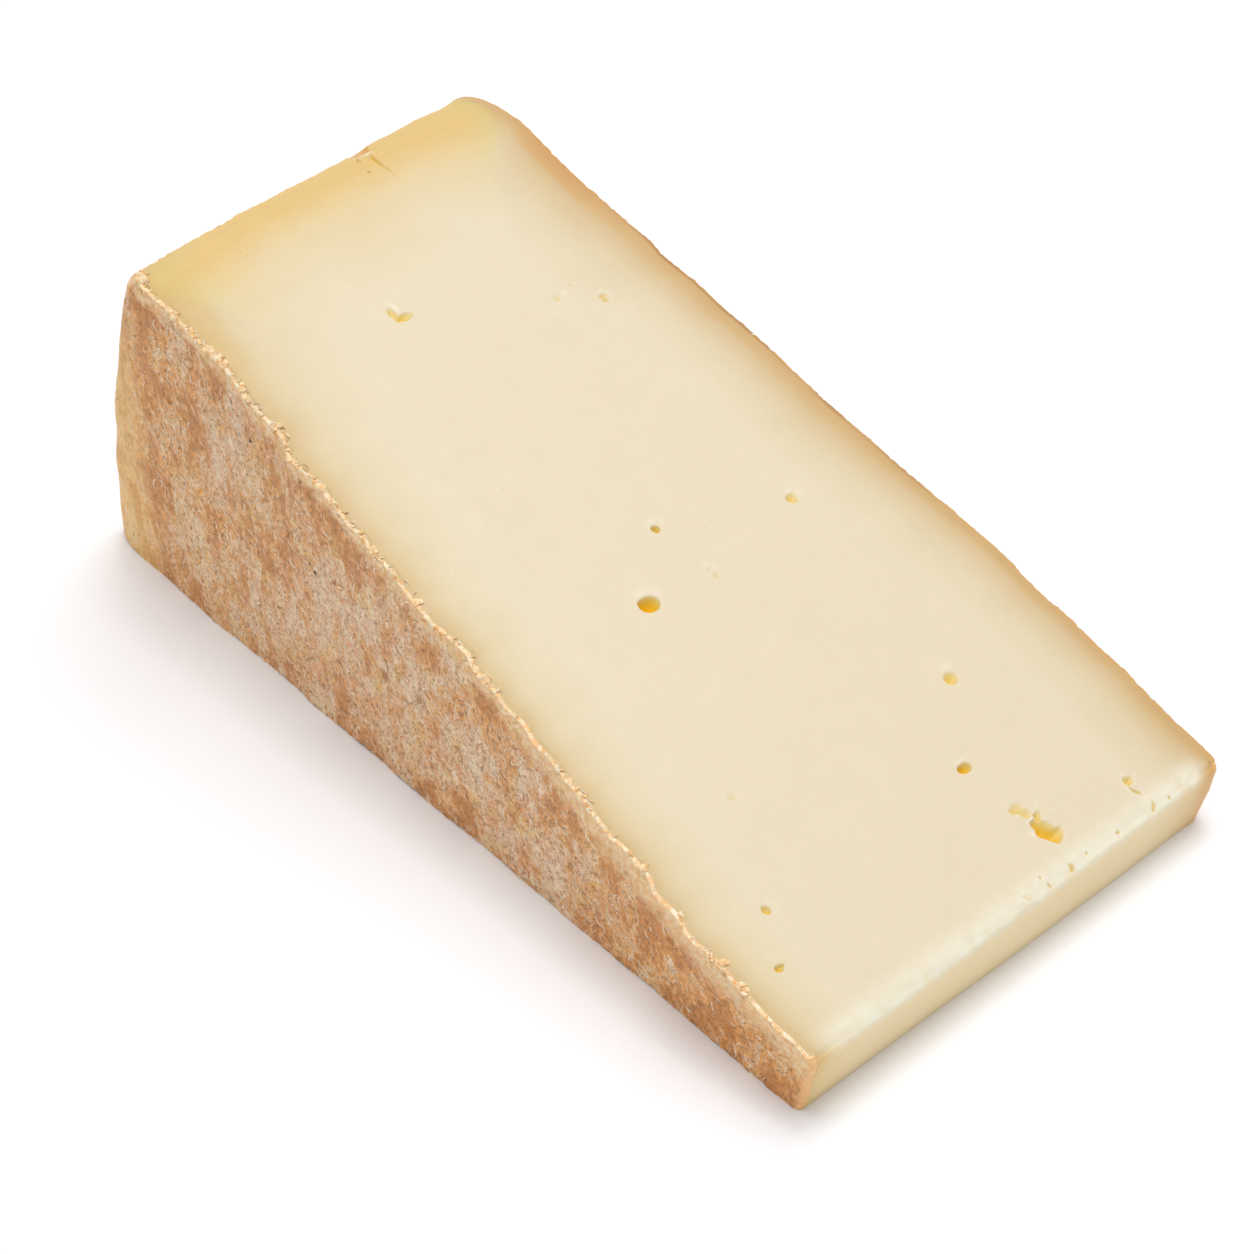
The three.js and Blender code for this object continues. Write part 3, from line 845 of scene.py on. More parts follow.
CUT_NORMAL = np.array([math.sin(CUT_ANGLE), 0.0, math.cos(CUT_ANGLE)])
FARTHEST = 60                    # distances from an edge are stored up to here

# How strongly the left lip is torn: x, share.
LIP_CALM = ((0, 0.1), (7, 0.4), (12, 1.0), (60, 1.0), (80, 0.6), (110, 0.55), (140, 0.35), (156, 0.2))
LIP_TEARS = ((1.3, 1.0), (0.55, 0.55))
LIP_LIFT = 0.35                  # how far the torn lip stands up on average, for a relief of 1
LIP_SWAY = 0.4                   # how far it leans out sideways
EDGE_WEAR = 0.1                  # how far the other edges are worn down
CHIP_BARES = 0.12                # a chip deeper than this bares the skin under the rim

# Faint waves of the cut face, which fade out at the rind, and the rounding of its edge over the nose.
CUT_WAVES = ((9.0, 1.0), (2.6, 0.4))
WAVES_START = (1.2, 2.4)
NOSE_ROUND = 1.3
HOLLOW_REACH = 1.2               # hollows also sink the sides down to this depth

# How much wider than usual the tint along each edge is: places along that edge, widths.
BAND_WIDTHS = {
    "left": ((8, 20, 34, 60, 100, 140), (1.5, 1.6, 1.35, 1.0, 0.75, 0.8)),
    "right": ((4, 12, 22, 30, 60, 100, 140), (0.5, 1.0, 1.4, 1.35, 1.15, 0.87, 0.82)),
    "heel": ((-38, -28, -15, 15, 28, 38), (1.6, 1.35, 1.0, 1.0, 1.5, 1.7)),
}
BAND_WANDER = ((14.0, 0.16), (5.0, 0.07))
EDGE_LINE_STARTS, EDGE_LINE_ENDS = (30, 48), (96, 110)

# Patches of bloom on a flat side: x, z, half length, half height, strength.
BLOOM_PATCHES = (
    (36, 35, 7, 7, 1.0), (24, 27, 4, 7, 0.55), (23, 14, 4, 8, 0.95), (65, 24, 10, 5, 1.0),
    (56, 16, 6, 6, 0.5), (84, 22, 7, 5, 0.45), (80, 9, 9, 5, 0.45), (96, 15, 9, 7, 0.55),
    (110, 7, 8, 5, 0.7), (46, 8, 8, 4, 0.35), (74, 30, 5, 3, 0.4), (122, 14, 7, 4, 0.3),
    (134, 6, 6, 3, 0.35),
)
# Warmer, barer patches: x, z, half length, half height, strength.
BARE_PATCHES = (
    (14, 40, 7, 9, 0.9), (18, 52, 7, 5, 0.7), (30, 22, 5, 4, 0.7), (29, 44, 6, 5, 0.4),
    (47, 27, 7, 5, 0.6), (62, 38, 7, 5, 0.35), (98, 26, 9, 4, 0.85), (120, 20, 9, 4, 0.8),
    (138, 12, 9, 5, 0.7), (152, 6, 7, 5, 0.9), (88, 3, 9, 4, 0.4),
)
# Deeper pits of the two flat sides: x, z, radius, depth.
DEEP_PITS = (
    (74.6, 18.2, 1.3, 0.7), (82.8, 18.6, 1.5, 0.6), (117.8, 7.3, 0.8, 0.6), (131.5, 12.2, 0.7, 0.5),
    (136.5, 12.8, 0.6, 0.5), (129.0, 3.2, 0.8, 0.5), (56.7, 28.0, 0.5, 0.5), (58.4, 27.5, 0.5, 0.5),
    (62.5, 13.0, 1.2, 0.5), (34.0, 12.5, 0.9, 0.5), (45.0, 33.0, 0.7, 0.4), (91.0, 15.0, 0.9, 0.5),
    (71.0, 7.0, 0.8, 0.4), (101.0, 12.0, 0.7, 0.4),
)
PIT_SQUASH = 1.25                # a deep pit is this much longer than it is high
# Near-black flecks: x and z on the left flat side.
FLECKS = ((41.5, 43.2), (42.9, 42.0), (56.3, 42.2), (56.7, 28.0), (58.4, 27.5))
FAR_SIDE_SHIFT = 19              # the right side's patches lie this much further along
PATCHES_START = (6, 14)          # they fade in over this stretch of x
PATCH_WANDER, PATCH_WANDER_PITCH = 2.2, 5.0
GOLDEN_ENDS = (5, 15)            # the heel's golden skin fades out over this stretch of x


def depth_below_cut(at):
    """Depth under the upper cut face, square to it."""
    return (upper_cut_height(at[:, 0]) - at[:, 2]) * math.cos(CUT_ANGLE)


def patches(x, z, spots):
    """The strongest of the soft elliptical spots at each point."""
    strongest = np.zeros_like(x)
    for middle, height, length, rise, strength in spots:
        away = ((x - middle) / length) ** 2 + ((z - height) / rise) ** 2
        strongest = np.maximum(strongest, strength * np.exp(-away))
    return strongest


def rim_lines():
    """The outline of the upper cut face in plan: y of its two sides by x, and x of its heel by y."""
    def ordered(start, end, axis):
        at = wall_point(stretch(start, end, 0.25), 1.0, 1.0)[0]
        return at[np.argsort(at[:, axis])]

    right = ordered(0.0, HEEL_START, 0)
    left = ordered(HEEL_END, PATH_END, 0)
    heel = ordered(RIGHT_END + 7.5, LEFT_START - 1, 1)
    return (left[:, 0], left[:, 1]), (right[:, 0], right[:, 1]), (heel[:, 1], heel[:, 0])


def edge_fields(x, y, z):
    """Distances from the edges of the cut face, measured along it, in millimetres."""
    left, right, heel = rim_lines()
    w = np.clip(z / upper_cut_height(x), 0, 1)
    v = np.clip(y / HALF, -1, 1)
    return {
        "from_left": y - np.interp(x, *left), "from_right": np.interp(x, *right) - y,
        "from_heel": x - np.interp(y, *heel) + rim_x(v, 1.0) - rim_x(v, w),
        "from_nose": nose_point_plan(np.clip(y / half_width(x, v, w), -1, 1), w)[0] - x,
    }


def paint_cut_face(mesh, cavity):
    """Stores what the paste's colours follow: bands along the edges, hollows and the painted highlights
    beside them.
    """
    at = coordinates(mesh)
    x, y, z = at.T
    away, below = edge_fields(x, y, z), depth_below_cut(at)
    for label in ("from_right", "from_nose"):
        write_attribute(mesh, label, np.clip(away[label], -5, FARTHEST))
    uneven = knobs(x, y, 0, BAND_WANDER, 1.0)
    for label, (places, widths) in BAND_WIDTHS.items():
        width = uneven * np.interp(y if label == "heel" else x, places, widths)
        write_attribute(mesh, label + "_band", np.clip(away["from_" + label] / width, 0, FARTHEST))
    shown = smoothstep(x, *EDGE_LINE_STARTS) * (1 - smoothstep(x, *EDGE_LINE_ENDS))
    write_attribute(mesh, "edge_line", shown * (0.55 + 0.45 * noise(x, 0, 0, 5.0)))
    write_attribute(mesh, "cavity", cavity)
    write_attribute(mesh, "below", below)
    # Where the painted highlights beside the hollows lie.
    write_attribute(mesh, "rubbed", patches(x, y, PAINTED_HIGHLIGHT_SPOTS) * (below < 3))


def soften_nose_edge(at, away, below):
    """Rounds the edge between the cut face and the nose, unevenly."""
    x, y, z = at.T
    size = NOSE_ROUND + 0.45 * noise(y, 0, 3, 6.0) + 0.25 * noise(y, 0, 0, 1.6)
    v = np.clip(y / half_width(x, np.clip(y / HALF, -1, 1), 1.0), -1, 1)
    edge_x = nose_point_plan(v, np.ones_like(v))[0]
    drop = size / math.cos(CUT_ANGLE)
    foot_x = nose_point_plan(v, 1 - drop / upper_cut_height(edge_x))[0]
    ends = (edge_x - size, edge_x + NOSE_EDGE_ROUND, foot_x)
    rises = (upper_cut_height(ends[0]), upper_cut_height(ends[1]), upper_cut_height(foot_x) - drop)
    # Stations run from -1 on the cut face, over the edge at 0, to 1 on the nose.
    station = np.where(away < 0.05, below, -away) / size
    share = np.clip((station + 1) / 2, 0, 1)
    weights = ((1 - share) ** 2, 2 * share * (1 - share), share**2)
    rounded = (np.abs(station) < 1) & (z > 1)
    at[:, 0] = np.where(rounded, sum(k * end for k, end in zip(weights, ends)), x)
    at[:, 2] = np.where(rounded, sum(k * rise for k, rise in zip(weights, rises)), z)
    return at


def shape_paste(piece, relief):
    """Sinks the hollows and gives the paste its faint waves and its worn nose edge."""
    mesh = piece.data
    at = coordinates(mesh)
    x, y, z = at.T.copy()
    away, below = edge_fields(x, y, z), depth_below_cut(at)
    on_top = attribute_values(mesh, "upper")
    near_top = np.maximum(on_top, np.clip(1 - below / HOLLOW_REACH, 0, 1)) * (z > 2)
    hollow = hollow_depth(x, y) * near_top
    from_rind = np.min([away[k] for k in ("from_left", "from_right", "from_heel")], 0)
    waves = relief * knobs(x, y, z, CUT_WAVES)
    at = soften_nose_edge(at, away["from_nose"], below)
    at += CUT_NORMAL * (on_top * smoothstep(from_rind, *WAVES_START) * waves - hollow)[:, None]
    at[:, :2] += hollow[:, None] * UNDERCUT
    write_coordinates(mesh, at)
    paint_cut_face(mesh, hollow * on_top)


def tear_edges(mesh, at, lip_relief):
    """Tears the left lip, wears the other edges and chips the heel's; gives the chip's depth too."""
    x, y, z = at.T.copy()
    below = depth_below_cut(at)
    torn = attribute_values(mesh, "lip") * lip_relief * np.interp(x, *zip(*LIP_CALM))
    at += CUT_NORMAL * (torn * knobs(x, y, z, LIP_TEARS, LIP_LIFT))[:, None]
    at[:, 1] -= LIP_SWAY * torn * noise(x, y, z + 9, 0.9)
    at[:, 2] -= EDGE_WEAR * attribute_values(mesh, "wear") * (1 + 0.4 * noise(x, y, z, 2.0))
    chipped = heel_chip_depth(x, y, below) * (1 + 0.25 * noise(x, y, z, 0.8))
    at[:, 2] -= chipped
    return at, chipped


def paint_skin(mesh, x, y, z):
    """Stores where bloom, bare skin, deep pits and the golden heel lie."""
    along = np.where(y < 0, x, x + FAR_SIDE_SHIFT)
    wandered = [spot + PATCH_WANDER * noise(x, y, layer, PATCH_WANDER_PITCH)
                for spot, layer in ((along, z), (z, z + 40))]
    on_side = smoothstep(along, *PATCHES_START)
    write_attribute(mesh, "bloom", on_side * patches(*wandered, BLOOM_PATCHES))
    write_attribute(mesh, "bare", on_side * patches(*wandered, BARE_PATCHES))
    dent = np.zeros_like(x)
    for pit_x, pit_z, radius, depth in DEEP_PITS:
        away = np.hypot(along - pit_x, (z - pit_z) * PIT_SQUASH)
        dent = np.maximum(dent, depth * np.exp(-((away / radius) ** 2)))
    write_attribute(mesh, "dent", dent)
    write_attribute(mesh, "golden", 1 - smoothstep(x + 1.5 * noise(x, y, z, 6.0), *GOLDEN_ENDS))


def shape_rind(piece, lip_relief):
    """Tears and chips the rind's edges and stores what its colours and relief follow."""
    mesh = piece.data
    at = coordinates(mesh)
    x, y, z = at.T.copy()
    at, chipped = tear_edges(mesh, at, lip_relief)
    write_coordinates(mesh, at)
    write_attribute(mesh, "chipped", chipped)
    write_attribute(mesh, "rim", attribute_values(mesh, "rim") * (chipped < CHIP_BARES))
    paint_skin(mesh, x, y, z)
    paint_cut_face(mesh, 0 * x)


# ---------------- node trees


def srgb(red, green, blue):
    """A colour given as 0 to 255, as the linear values that Blender works in."""
    def linear(level):
        level /= 255
        return level / 12.92 if level <= 0.04045 else ((level + 0.055) / 1.055) ** 2.4

    return linear(red), linear(green), linear(blue)


class Tree:
    """Short ways to add nodes to one node tree and join them."""

    def __init__(self, tree):
        self.tree = tree

    def node(self, kind, inputs=(), **settings):
        made = self.tree.nodes.new(kind)
        for name, value in settings.items():
            setattr(made, name, value)
        for name, value in dict(inputs).items():
            if isinstance(value, bpy.types.NodeSocket):
                self.tree.links.new(value, made.inputs[name])
            else:
                made.inputs[name].default_value = value
        return made

    def add(self, kind, inputs=(), **settings):
        """A node's first output."""
        return self.node(kind, inputs, **settings).outputs[0]

    def math(self, operation, *values, clamp=False):
        return self.add("ShaderNodeMath", enumerate(values), operation=operation, use_clamp=clamp)

    def chain(self, operation, first, *others):
        for other in others:
            first = self.math(operation, first, other)
        return first

    def times(self, *values):
        return self.chain("MULTIPLY", *values)

    def plus(self, *values):
        return self.chain("ADD", *values)

    def highest(self, *values):
        return self.chain("MAXIMUM", *values)

    def minus(self, a, b):
        return self.math("SUBTRACT", a, b)

    def over(self, a, b):
        return self.math("DIVIDE", a, b)

    def sway(self, value, size):
        """How far a noise is from its middle, times a size."""
        return self.times(self.minus(value, 0.5), size)

    def vector(self, operation, *values):
        made = self.node("ShaderNodeVectorMath", enumerate(values), operation=operation)
        return made.outputs[1 if operation in ("DISTANCE", "DOT_PRODUCT") else 0]

    def scaled(self, vector, factor):
        return self.add("ShaderNodeVectorMath", {0: vector, "Scale": factor}, operation="SCALE")

    def joined(self, x, y, z):
        return self.add("ShaderNodeCombineXYZ", {0: x, 1: y, 2: z})

    def apart(self, vector):
        """The vector's x, y and z."""
        return self.node("ShaderNodeSeparateXYZ", {0: vector}).outputs

    def step(self, value, low, high, start=0.0, end=1.0):
        """Goes smoothly from start to end as the value goes from low to high."""
        return self.add("ShaderNodeMapRange", enumerate((value, low, high, start, end)),
                        interpolation_type="SMOOTHSTEP")

    def noise_at(self, vector, scale, detail=0.0, roughness=0.5, output=0):
        """Noise from about 0.25 to 0.75 as a value, or as a vector with output 1."""
        return self.node("ShaderNodeTexNoise", {
            "Vector": vector, "Scale": scale, "Detail": detail, "Roughness": roughness,
        }).outputs[output]

    def noise(self, vector, pitch, detail=0.0, roughness=0.5):
        """Noise that changes over `pitch` of the vector's units."""
        return self.noise_at(vector, 1 / pitch, detail, roughness)

    def wander(self, vector, scale, detail, reach):
        """A vector that sways round zero, by about a quarter of `reach` each way."""
        swirl = self.noise_at(vector, scale, detail, output=1)
        return self.scaled(self.vector("SUBTRACT", swirl, (0.5, 0.5, 0.5)), reach)

    def mix(self, factor, a, b, blend="MIX"):
        made = self.node("ShaderNodeMix", {0: factor, 6: self.paint(a), 7: self.paint(b)},
                         data_type="RGBA", blend_type=blend)
        return made.outputs[2]

    def ramp(self, value, stops):
        """Colours along a value, given as {place from 0 to 1: colour}."""
        made = self.node("ShaderNodeValToRGB", {0: value})
        elements = made.color_ramp.elements
        while len(elements) < len(stops):
            elements.new(0.5)
        for element, (position, colour) in zip(elements, sorted(stops.items())):
            element.position = position
            element.color = self.paint(colour)
        return made.outputs[0]

    def attribute(self, name, output="Fac"):
        return self.node("ShaderNodeAttribute", attribute_name=name).outputs[output]

    @staticmethod
    def paint(colour):
        return colour if isinstance(colour, bpy.types.NodeSocket) else (*tuple(colour)[:3], 1.0)


FLOAT, VECTOR, TEXT = "NodeSocketFloat", "NodeSocketVector", "NodeSocketString"
GEOMETRY, MATERIAL = "NodeSocketGeometry", "NodeSocketMaterial"
NUMBERS = {float: FLOAT, int: "NodeSocketInt"}


def new_group(name, inputs, output, kind="ShaderNodeTree"):
    """A node group with one output; each input has a default number, or only a socket type."""
    group = bpy.data.node_groups.new(name, kind)
    for label, given in inputs.items():
        socket_type = NUMBERS.get(type(given), given)
        socket = group.interface.new_socket(label, in_out="INPUT", socket_type=socket_type)
        if socket_type != given:
            socket.default_value = given
    group.interface.new_socket(output[0], in_out="OUTPUT", socket_type=output[1])
    return Tree(group), group.nodes.new("NodeGroupInput").outputs


MOTTLING_GAIN = 3.0              # brings noise, which rarely leaves its middle third, to full size
QUICKER = 9.0


def mottling_group():
    """Slow and quick unevenness of a colour, as one value round 1."""
    t, given = new_group("Mottling", {"Place": VECTOR, "Pitch": 6.0, "Slow": 0.05, "Quick": 0.05},
                         ("Level", FLOAT))
    scale = t.over(1.0, given["Pitch"])
    slow = t.noise_at(given["Place"], scale, 2.0)
    quick = t.noise_at(given["Place"], t.times(scale, QUICKER), 3.0, 0.6)
    level = t.plus(1.0, t.sway(slow, t.times(given["Slow"], MOTTLING_GAIN)),
                   t.sway(quick, t.times(given["Quick"], MOTTLING_GAIN)))
    t.node("NodeGroupOutput", {"Level": level})


def grain_group():
    """Height of a fine soft grain, from two sizes of noise."""
    t, given = new_group("Soft grain", {"Place": VECTOR, "Pitch": 0.4}, ("Height", FLOAT))
    scale = t.over(1.0, given["Pitch"])
    fine = t.noise_at(given["Place"], scale, 3.0)
    broad = t.noise_at(given["Place"], t.times(scale, 0.25), 1.0)
    t.node("NodeGroupOutput", {"Height": t.plus(fine, t.times(broad, 1.5))})


def use_group(t, name, **inputs):
    return t.add("ShaderNodeGroup", inputs, node_tree=bpy.data.node_groups[name])


def new_material(name):
    """The tree of an empty new material."""
    material = bpy.data.materials.new(name)
    material.use_nodes = True
    material.node_tree.nodes.clear()
    return Tree(material.node_tree)


def end_material(t, inputs, through=None):
    """Ends a material with its shader; light goes `through` it by (share, radii, millimetres)."""
    shader = t.node("ShaderNodeBsdfPrincipled", inputs)
    if through:
        share, radii, depth = through
        shader.inputs["Subsurface Weight"].default_value = share
        shader.inputs["Subsurface Radius"].default_value = radii
        shader.inputs["Subsurface Scale"].default_value = depth * MM
    t.node("ShaderNodeOutputMaterial", {"Surface": shader.outputs[0]})


def in_millimetres(t):
    return t.scaled(t.node("ShaderNodeTexCoord").outputs["Object"], 1 / MM)


def bump(t, height, distance, strength=1.0):
    return t.add("ShaderNodeBump", {"Height": height, "Distance": distance * MM, "Strength": strength})


# ---------------- the paste's finish

# Colours at millimetres in from each edge of the cut face, as they are seen.
CORE = (240, 226, 197)
BANDS = {
    "heel_band": {0: (236, 204, 140), 1: (237, 202, 130), 3: (236, 200, 128), 5: (237, 206, 143),
                  8.7: (238, 216, 170), 14.7: (239, 221, 184), 24: CORE},
    "left_band": {0: (222, 190, 135), 2.2: (227, 201, 153), 4: (232, 212, 170), 6: (236, 218, 181),
                  9: (238, 222, 188), 14: CORE},
    "right_band": {0: (219, 175, 116), 2: (221, 184, 129), 4: (226, 200, 156), 7: (232, 213, 176),
                   10: (236, 220, 188), 15: CORE},
}
BAND_REACH = 30.0
# Next to the heel the side bands are deeper: over this stretch along, to a depth, by a colour.
DEEPER_STARTS, DEEPER_ENDS = (-64.0, -52.0), (-50.0, -28.0, 1.0, 0.0)
DEEPER = (("right_band", 3.6, (0.98, 0.86, 0.7)), ("left_band", 4.5, (1.0, 0.95, 0.82)))
# Colours at millimetres down inside the eyes and cracks, as they are seen: the deepening gold is a painted
# glow of light passing through the paste.
EYE_PAINTED_GLOW = {0: (240, 226, 197), 0.12: (237, 214, 156), 0.35: (234, 203, 112), 0.75: (231, 191, 56),
              1.3: (226, 180, 8), 2.1: (215, 164, 0)}
EYE_REACH = 2.5
# The hollows' colours are lifted by this fall-off of light: painted light against their shade.
EYE_SHADE = 4.5                  # millimetres down at which a hollow gets 1/e of the light
EDGE_LINE = (0.45, 0.9, 1.0, 0.0)
# The painted highlight along the rounded edge over the nose: how it fades on the cut face and down the nose,
# its patches, and its gap from each rind band.
HIGHLIGHT_ON_TOP, HIGHLIGHT_ON_NOSE = (0.2, 5.0, 1.0, 0.0), (0.1, 3.0, 1.0, 0.0)
HIGHLIGHT_PATCHES = (0.3, 0.6, 0.6, 1.0)
HIGHLIGHT_FROM_RIND = (("left_band", 9.0), ("right_band", 6.0))


def band(t, value, stops, light, reach=BAND_REACH, shade=math.inf):
    """The colour ramp of one band, its colours brought from what is seen to the paste's own. Given a shade
    depth, each colour is also lifted by the light taken to be lost at its depth, which is painted light.
    """
    own = {}
    for place, colour in stops.items():
        lit = [gain * math.exp(-place / shade) for gain in light]
        own[place / reach] = tuple(min(c / g, 1.0) for c, g in zip(srgb(*colour), lit))
    return t.ramp(t.over(value, reach), own)


def cut_face_colour(t, place, light, edge_colour):
    """Cream in the middle and golden to tan near the rind, with a brown line along the right edge."""
    heel, left, right = (band(t, t.attribute(label), stops, light) for label, stops in BANDS.items())
    colour = t.mix(1.0, t.mix(1.0, heel, left, "DARKEN"), right, "DARKEN")
    along = t.apart(place)[0]
    near_heel = t.times(t.step(along, *DEEPER_STARTS), t.step(along, *DEEPER_ENDS))
    for label, reach, deeper in DEEPER:
        here = t.times(near_heel, t.step(t.attribute(label), reach / 2, reach, 1, 0))
        colour = t.mix(here, colour, t.mix(1.0, colour, deeper, "MULTIPLY"))
    line = t.times(t.attribute("edge_line"), t.step(t.attribute("from_right"), *EDGE_LINE))
    return t.mix(line, colour, edge_colour)


def nose_highlight_share(t, place, below):
    """Where the edge over the nose gets its painted highlight: in patches, and not next to the rind."""
    on_top = t.math("POWER", t.step(t.attribute("from_nose"), *HIGHLIGHT_ON_TOP), 2.0)
    on_nose = t.math("POWER", t.step(below, *HIGHLIGHT_ON_NOSE), 2.0)
    patchy = t.step(t.noise(place, 2.5, 2), *HIGHLIGHT_PATCHES)
    clear = [t.step(t.attribute(label), 1.0, reach) for label, reach in HIGHLIGHT_FROM_RIND]
    return t.times(on_top, on_nose, patchy, t.times(*clear))


def paste_material(settings):
    """Pressed paste: cream in the middle, golden to tan towards the rind, with a soft sheen."""
    t = new_material("pressed paste")
    place, light = in_millimetres(t), tuple(settings.light)
    colour = cut_face_colour(t, place, light, settings.edge_colour)
    # The nose keeps the side bands' tint under a colour painted lighter than the cut face's own, which is
    # painted light on the nose face; its upper edge gets a painted highlight in patches.
    core = tuple(c / g for c, g in zip(srgb(*CORE), light))
    tint = t.mix(1.0, colour, core, "DIVIDE")
    front = t.step(t.attribute("front"), 0.4, 0.6)
    colour = t.mix(front, colour, t.mix(1.0, tint, settings.nose_painted_light_colour, "MULTIPLY"))
    below = t.attribute("below")
    # Painted highlight along the rounded nose edge, brightest where the edge turns down.
    rubbed = t.mix(t.step(below, 0.02, 0.5), settings.edge_highlight_colour, settings.turned_highlight_colour)
    colour = t.mix(nose_highlight_share(t, place, below), colour, rubbed)
    # The hollows are deeper yellow: a painted glow of light through the paste, lifted further to cancel their
    # shade. Beside them lie painted highlights.
    cavity = t.attribute("cavity")
    eye = band(t, cavity, EYE_PAINTED_GLOW, light, EYE_REACH, EYE_SHADE)
    eye = t.mix(1.0, t.mix(0.5, tint, (1, 1, 1)), eye, "MULTIPLY")
    colour = t.mix(t.step(cavity, 0.02, 0.12), colour, eye)
    colour = t.mix(t.times(t.attribute("rubbed"), 0.8), colour, settings.spot_highlight_colour)
    mottled = use_group(t, "Mottling", Place=place, Pitch=7.0, Slow=0.014, Quick=0.014)
    grain = use_group(t, "Soft grain", Place=place, Pitch=0.3)
    end_material(t, {
        "Base Color": t.scaled(colour, mottled), "Normal": bump(t, grain, 0.03, 0.5),
        "Roughness": t.step(t.noise(place, 3.0, 3), 0.3, 0.7, 0.36, 0.5), "Specular IOR Level": 0.35,
    }, through=(0.25, (1.0, 0.8, 0.5), 0.9))


# ---------------- the rind's finish

STROKE_DIRECTION = (0.42, 0.25, -0.87)
# Where the skin is barer next to the heel and towards the nose, along the wedge.
HEEL_END_FADE, NOSE_END_FADE = (-52.0, -34.0, 0.8, 0.0), (38.0, 62.0)
# Strokes and threads of bloom: width, how many times longer, how far they wander.
BROAD_STROKES, SPECK_STROKES = (1.2, 3.5, 3.5), (0.6, 2.0, 2.0)
LONG_THREADS, CURLED_THREADS, FINE_THREADS = (1.5, 3.0, 4.0), (0.95, 1.8, 5.5), (0.34, 4.0, 4.0)
LONG_WIDTH, CURL_WIDTH = 0.03, 0.034     # as a span of the noise that the threads follow
# Fades, each as low, high and what it goes from and to.
FINE_SHOWN, SPECKS_SHOWN = (0.55, 0.66, 0.0, 0.8), (0.3, 0.37, 0.75, 0.0)
THREADS_IN_DUST, THREADS_ON_GOLD = (0.05, 0.6, 0.15, 0.95), (0, 1, 1.0, 0.6)
AMBER_SHOWN, ROUGH_SHOWN = (0.5, 0.64, 0.0, 0.6), (0.32, 0.58, 0.8, 0.0)
PIT_FLOOR, DEEP_PIT_FLOOR = (0.15, 0.9, 0.0, 0.6), (0.9, 1.3, 0.0, 0.6)
WAX_REACH, WAX_FADE = (10.0, 70.0, 2.8, 6.4), (0.25, 1.0, 0.95, 0.0)
WAX_BY_SIDE, RIGHT_EDGE = (0, 1, 0.9, 0.2), (0.6, 1.8, 0.75, 0.0)
HOLES_SHOWN, HOLES_REACH = (0.6, 0.68), (0.3, 2.2, 0.65, 0.0)
LIP_EDGE, LIP_BREAKS = (0.7, 0.95), (0.5, 0.6, 0.0, 0.8)
TIP_FADE, CHIP_FADE = (1.1, 1.9, 0.8, 0.0), (0.1, 0.3)
BARE_WARMTH, GOLDEN_AMBER, GOLDEN_SMOOTH = 0.85, 0.9, 0.7
# How much grain, strokes, clouds and patches thicken the bloom, and bare skin thins it.
GRAIN_SHARE, STROKE_SHARE, CLOUD_SHARE, PATCH_SHARE, BARE_SHARE = 0.6, 1.1, 2.8, 0.38, 0.25
DUST_LEVEL = 0.38
CLOUD_STRETCH = (1.0, 1.0, 0.55)
AMBER_ENDS = (srgb(234, 180, 104), srgb(255, 228, 172))
WARM_ENDS = (srgb(214, 142, 74), srgb(250, 212, 156))
FLECK_SIZE = 0.78


def strokes(t, skin, width, stretched, warp):
    """Noise drawn out into long soft strokes that run down the skin."""
    bent = t.vector("ADD", skin, t.wander(skin, 0.4, 2.0, warp))
    along = t.vector("DOT_PRODUCT", bent, STROKE_DIRECTION)
    short = t.scaled(STROKE_DIRECTION, t.times(along, 1 / stretched - 1))
    return t.noise(t.vector("ADD", bent, short), width, 2, 0.55)


def thread_lines(t, field, width):
    """Thin curving lines where a noise field passes its middle."""
    return t.step(t.math("ABSOLUTE", t.minus(field, 0.5)), width * 0.4, width, 1, 0)


def bare_ends(t, skin, along):
    """Where the skin is barer and warmer: next to the heel and towards the nose."""
    heel = t.times(t.step(along, *HEEL_END_FADE), t.step(t.noise(skin, 4.0, 1), 0.35, 0.6, 0.3, 1.0))
    nose = t.times(t.step(along, *NOSE_END_FADE), t.step(t.noise(skin, 3.0, 2), 0.35, 0.6, 0.5, 1.0))
    return t.highest(heel, nose)


def dust_on_skin(t, skin, bloom, bared):
    """How much bloom lies on the skin, from 0 to 1."""
    grain = t.noise(skin, 1.5, 3, 0.95)
    drawn = strokes(t, skin, *BROAD_STROKES)
    clouds = t.noise(t.vector("MULTIPLY", skin, CLOUD_STRETCH), 5.0, 3, 0.65)
    dust = t.plus(t.sway(grain, GRAIN_SHARE), t.sway(drawn, STROKE_SHARE), t.sway(clouds, CLOUD_SHARE),
                  t.times(bloom, PATCH_SHARE))
    return t.math("ADD", t.minus(dust, t.times(bared, BARE_SHARE)), DUST_LEVEL, clamp=True)


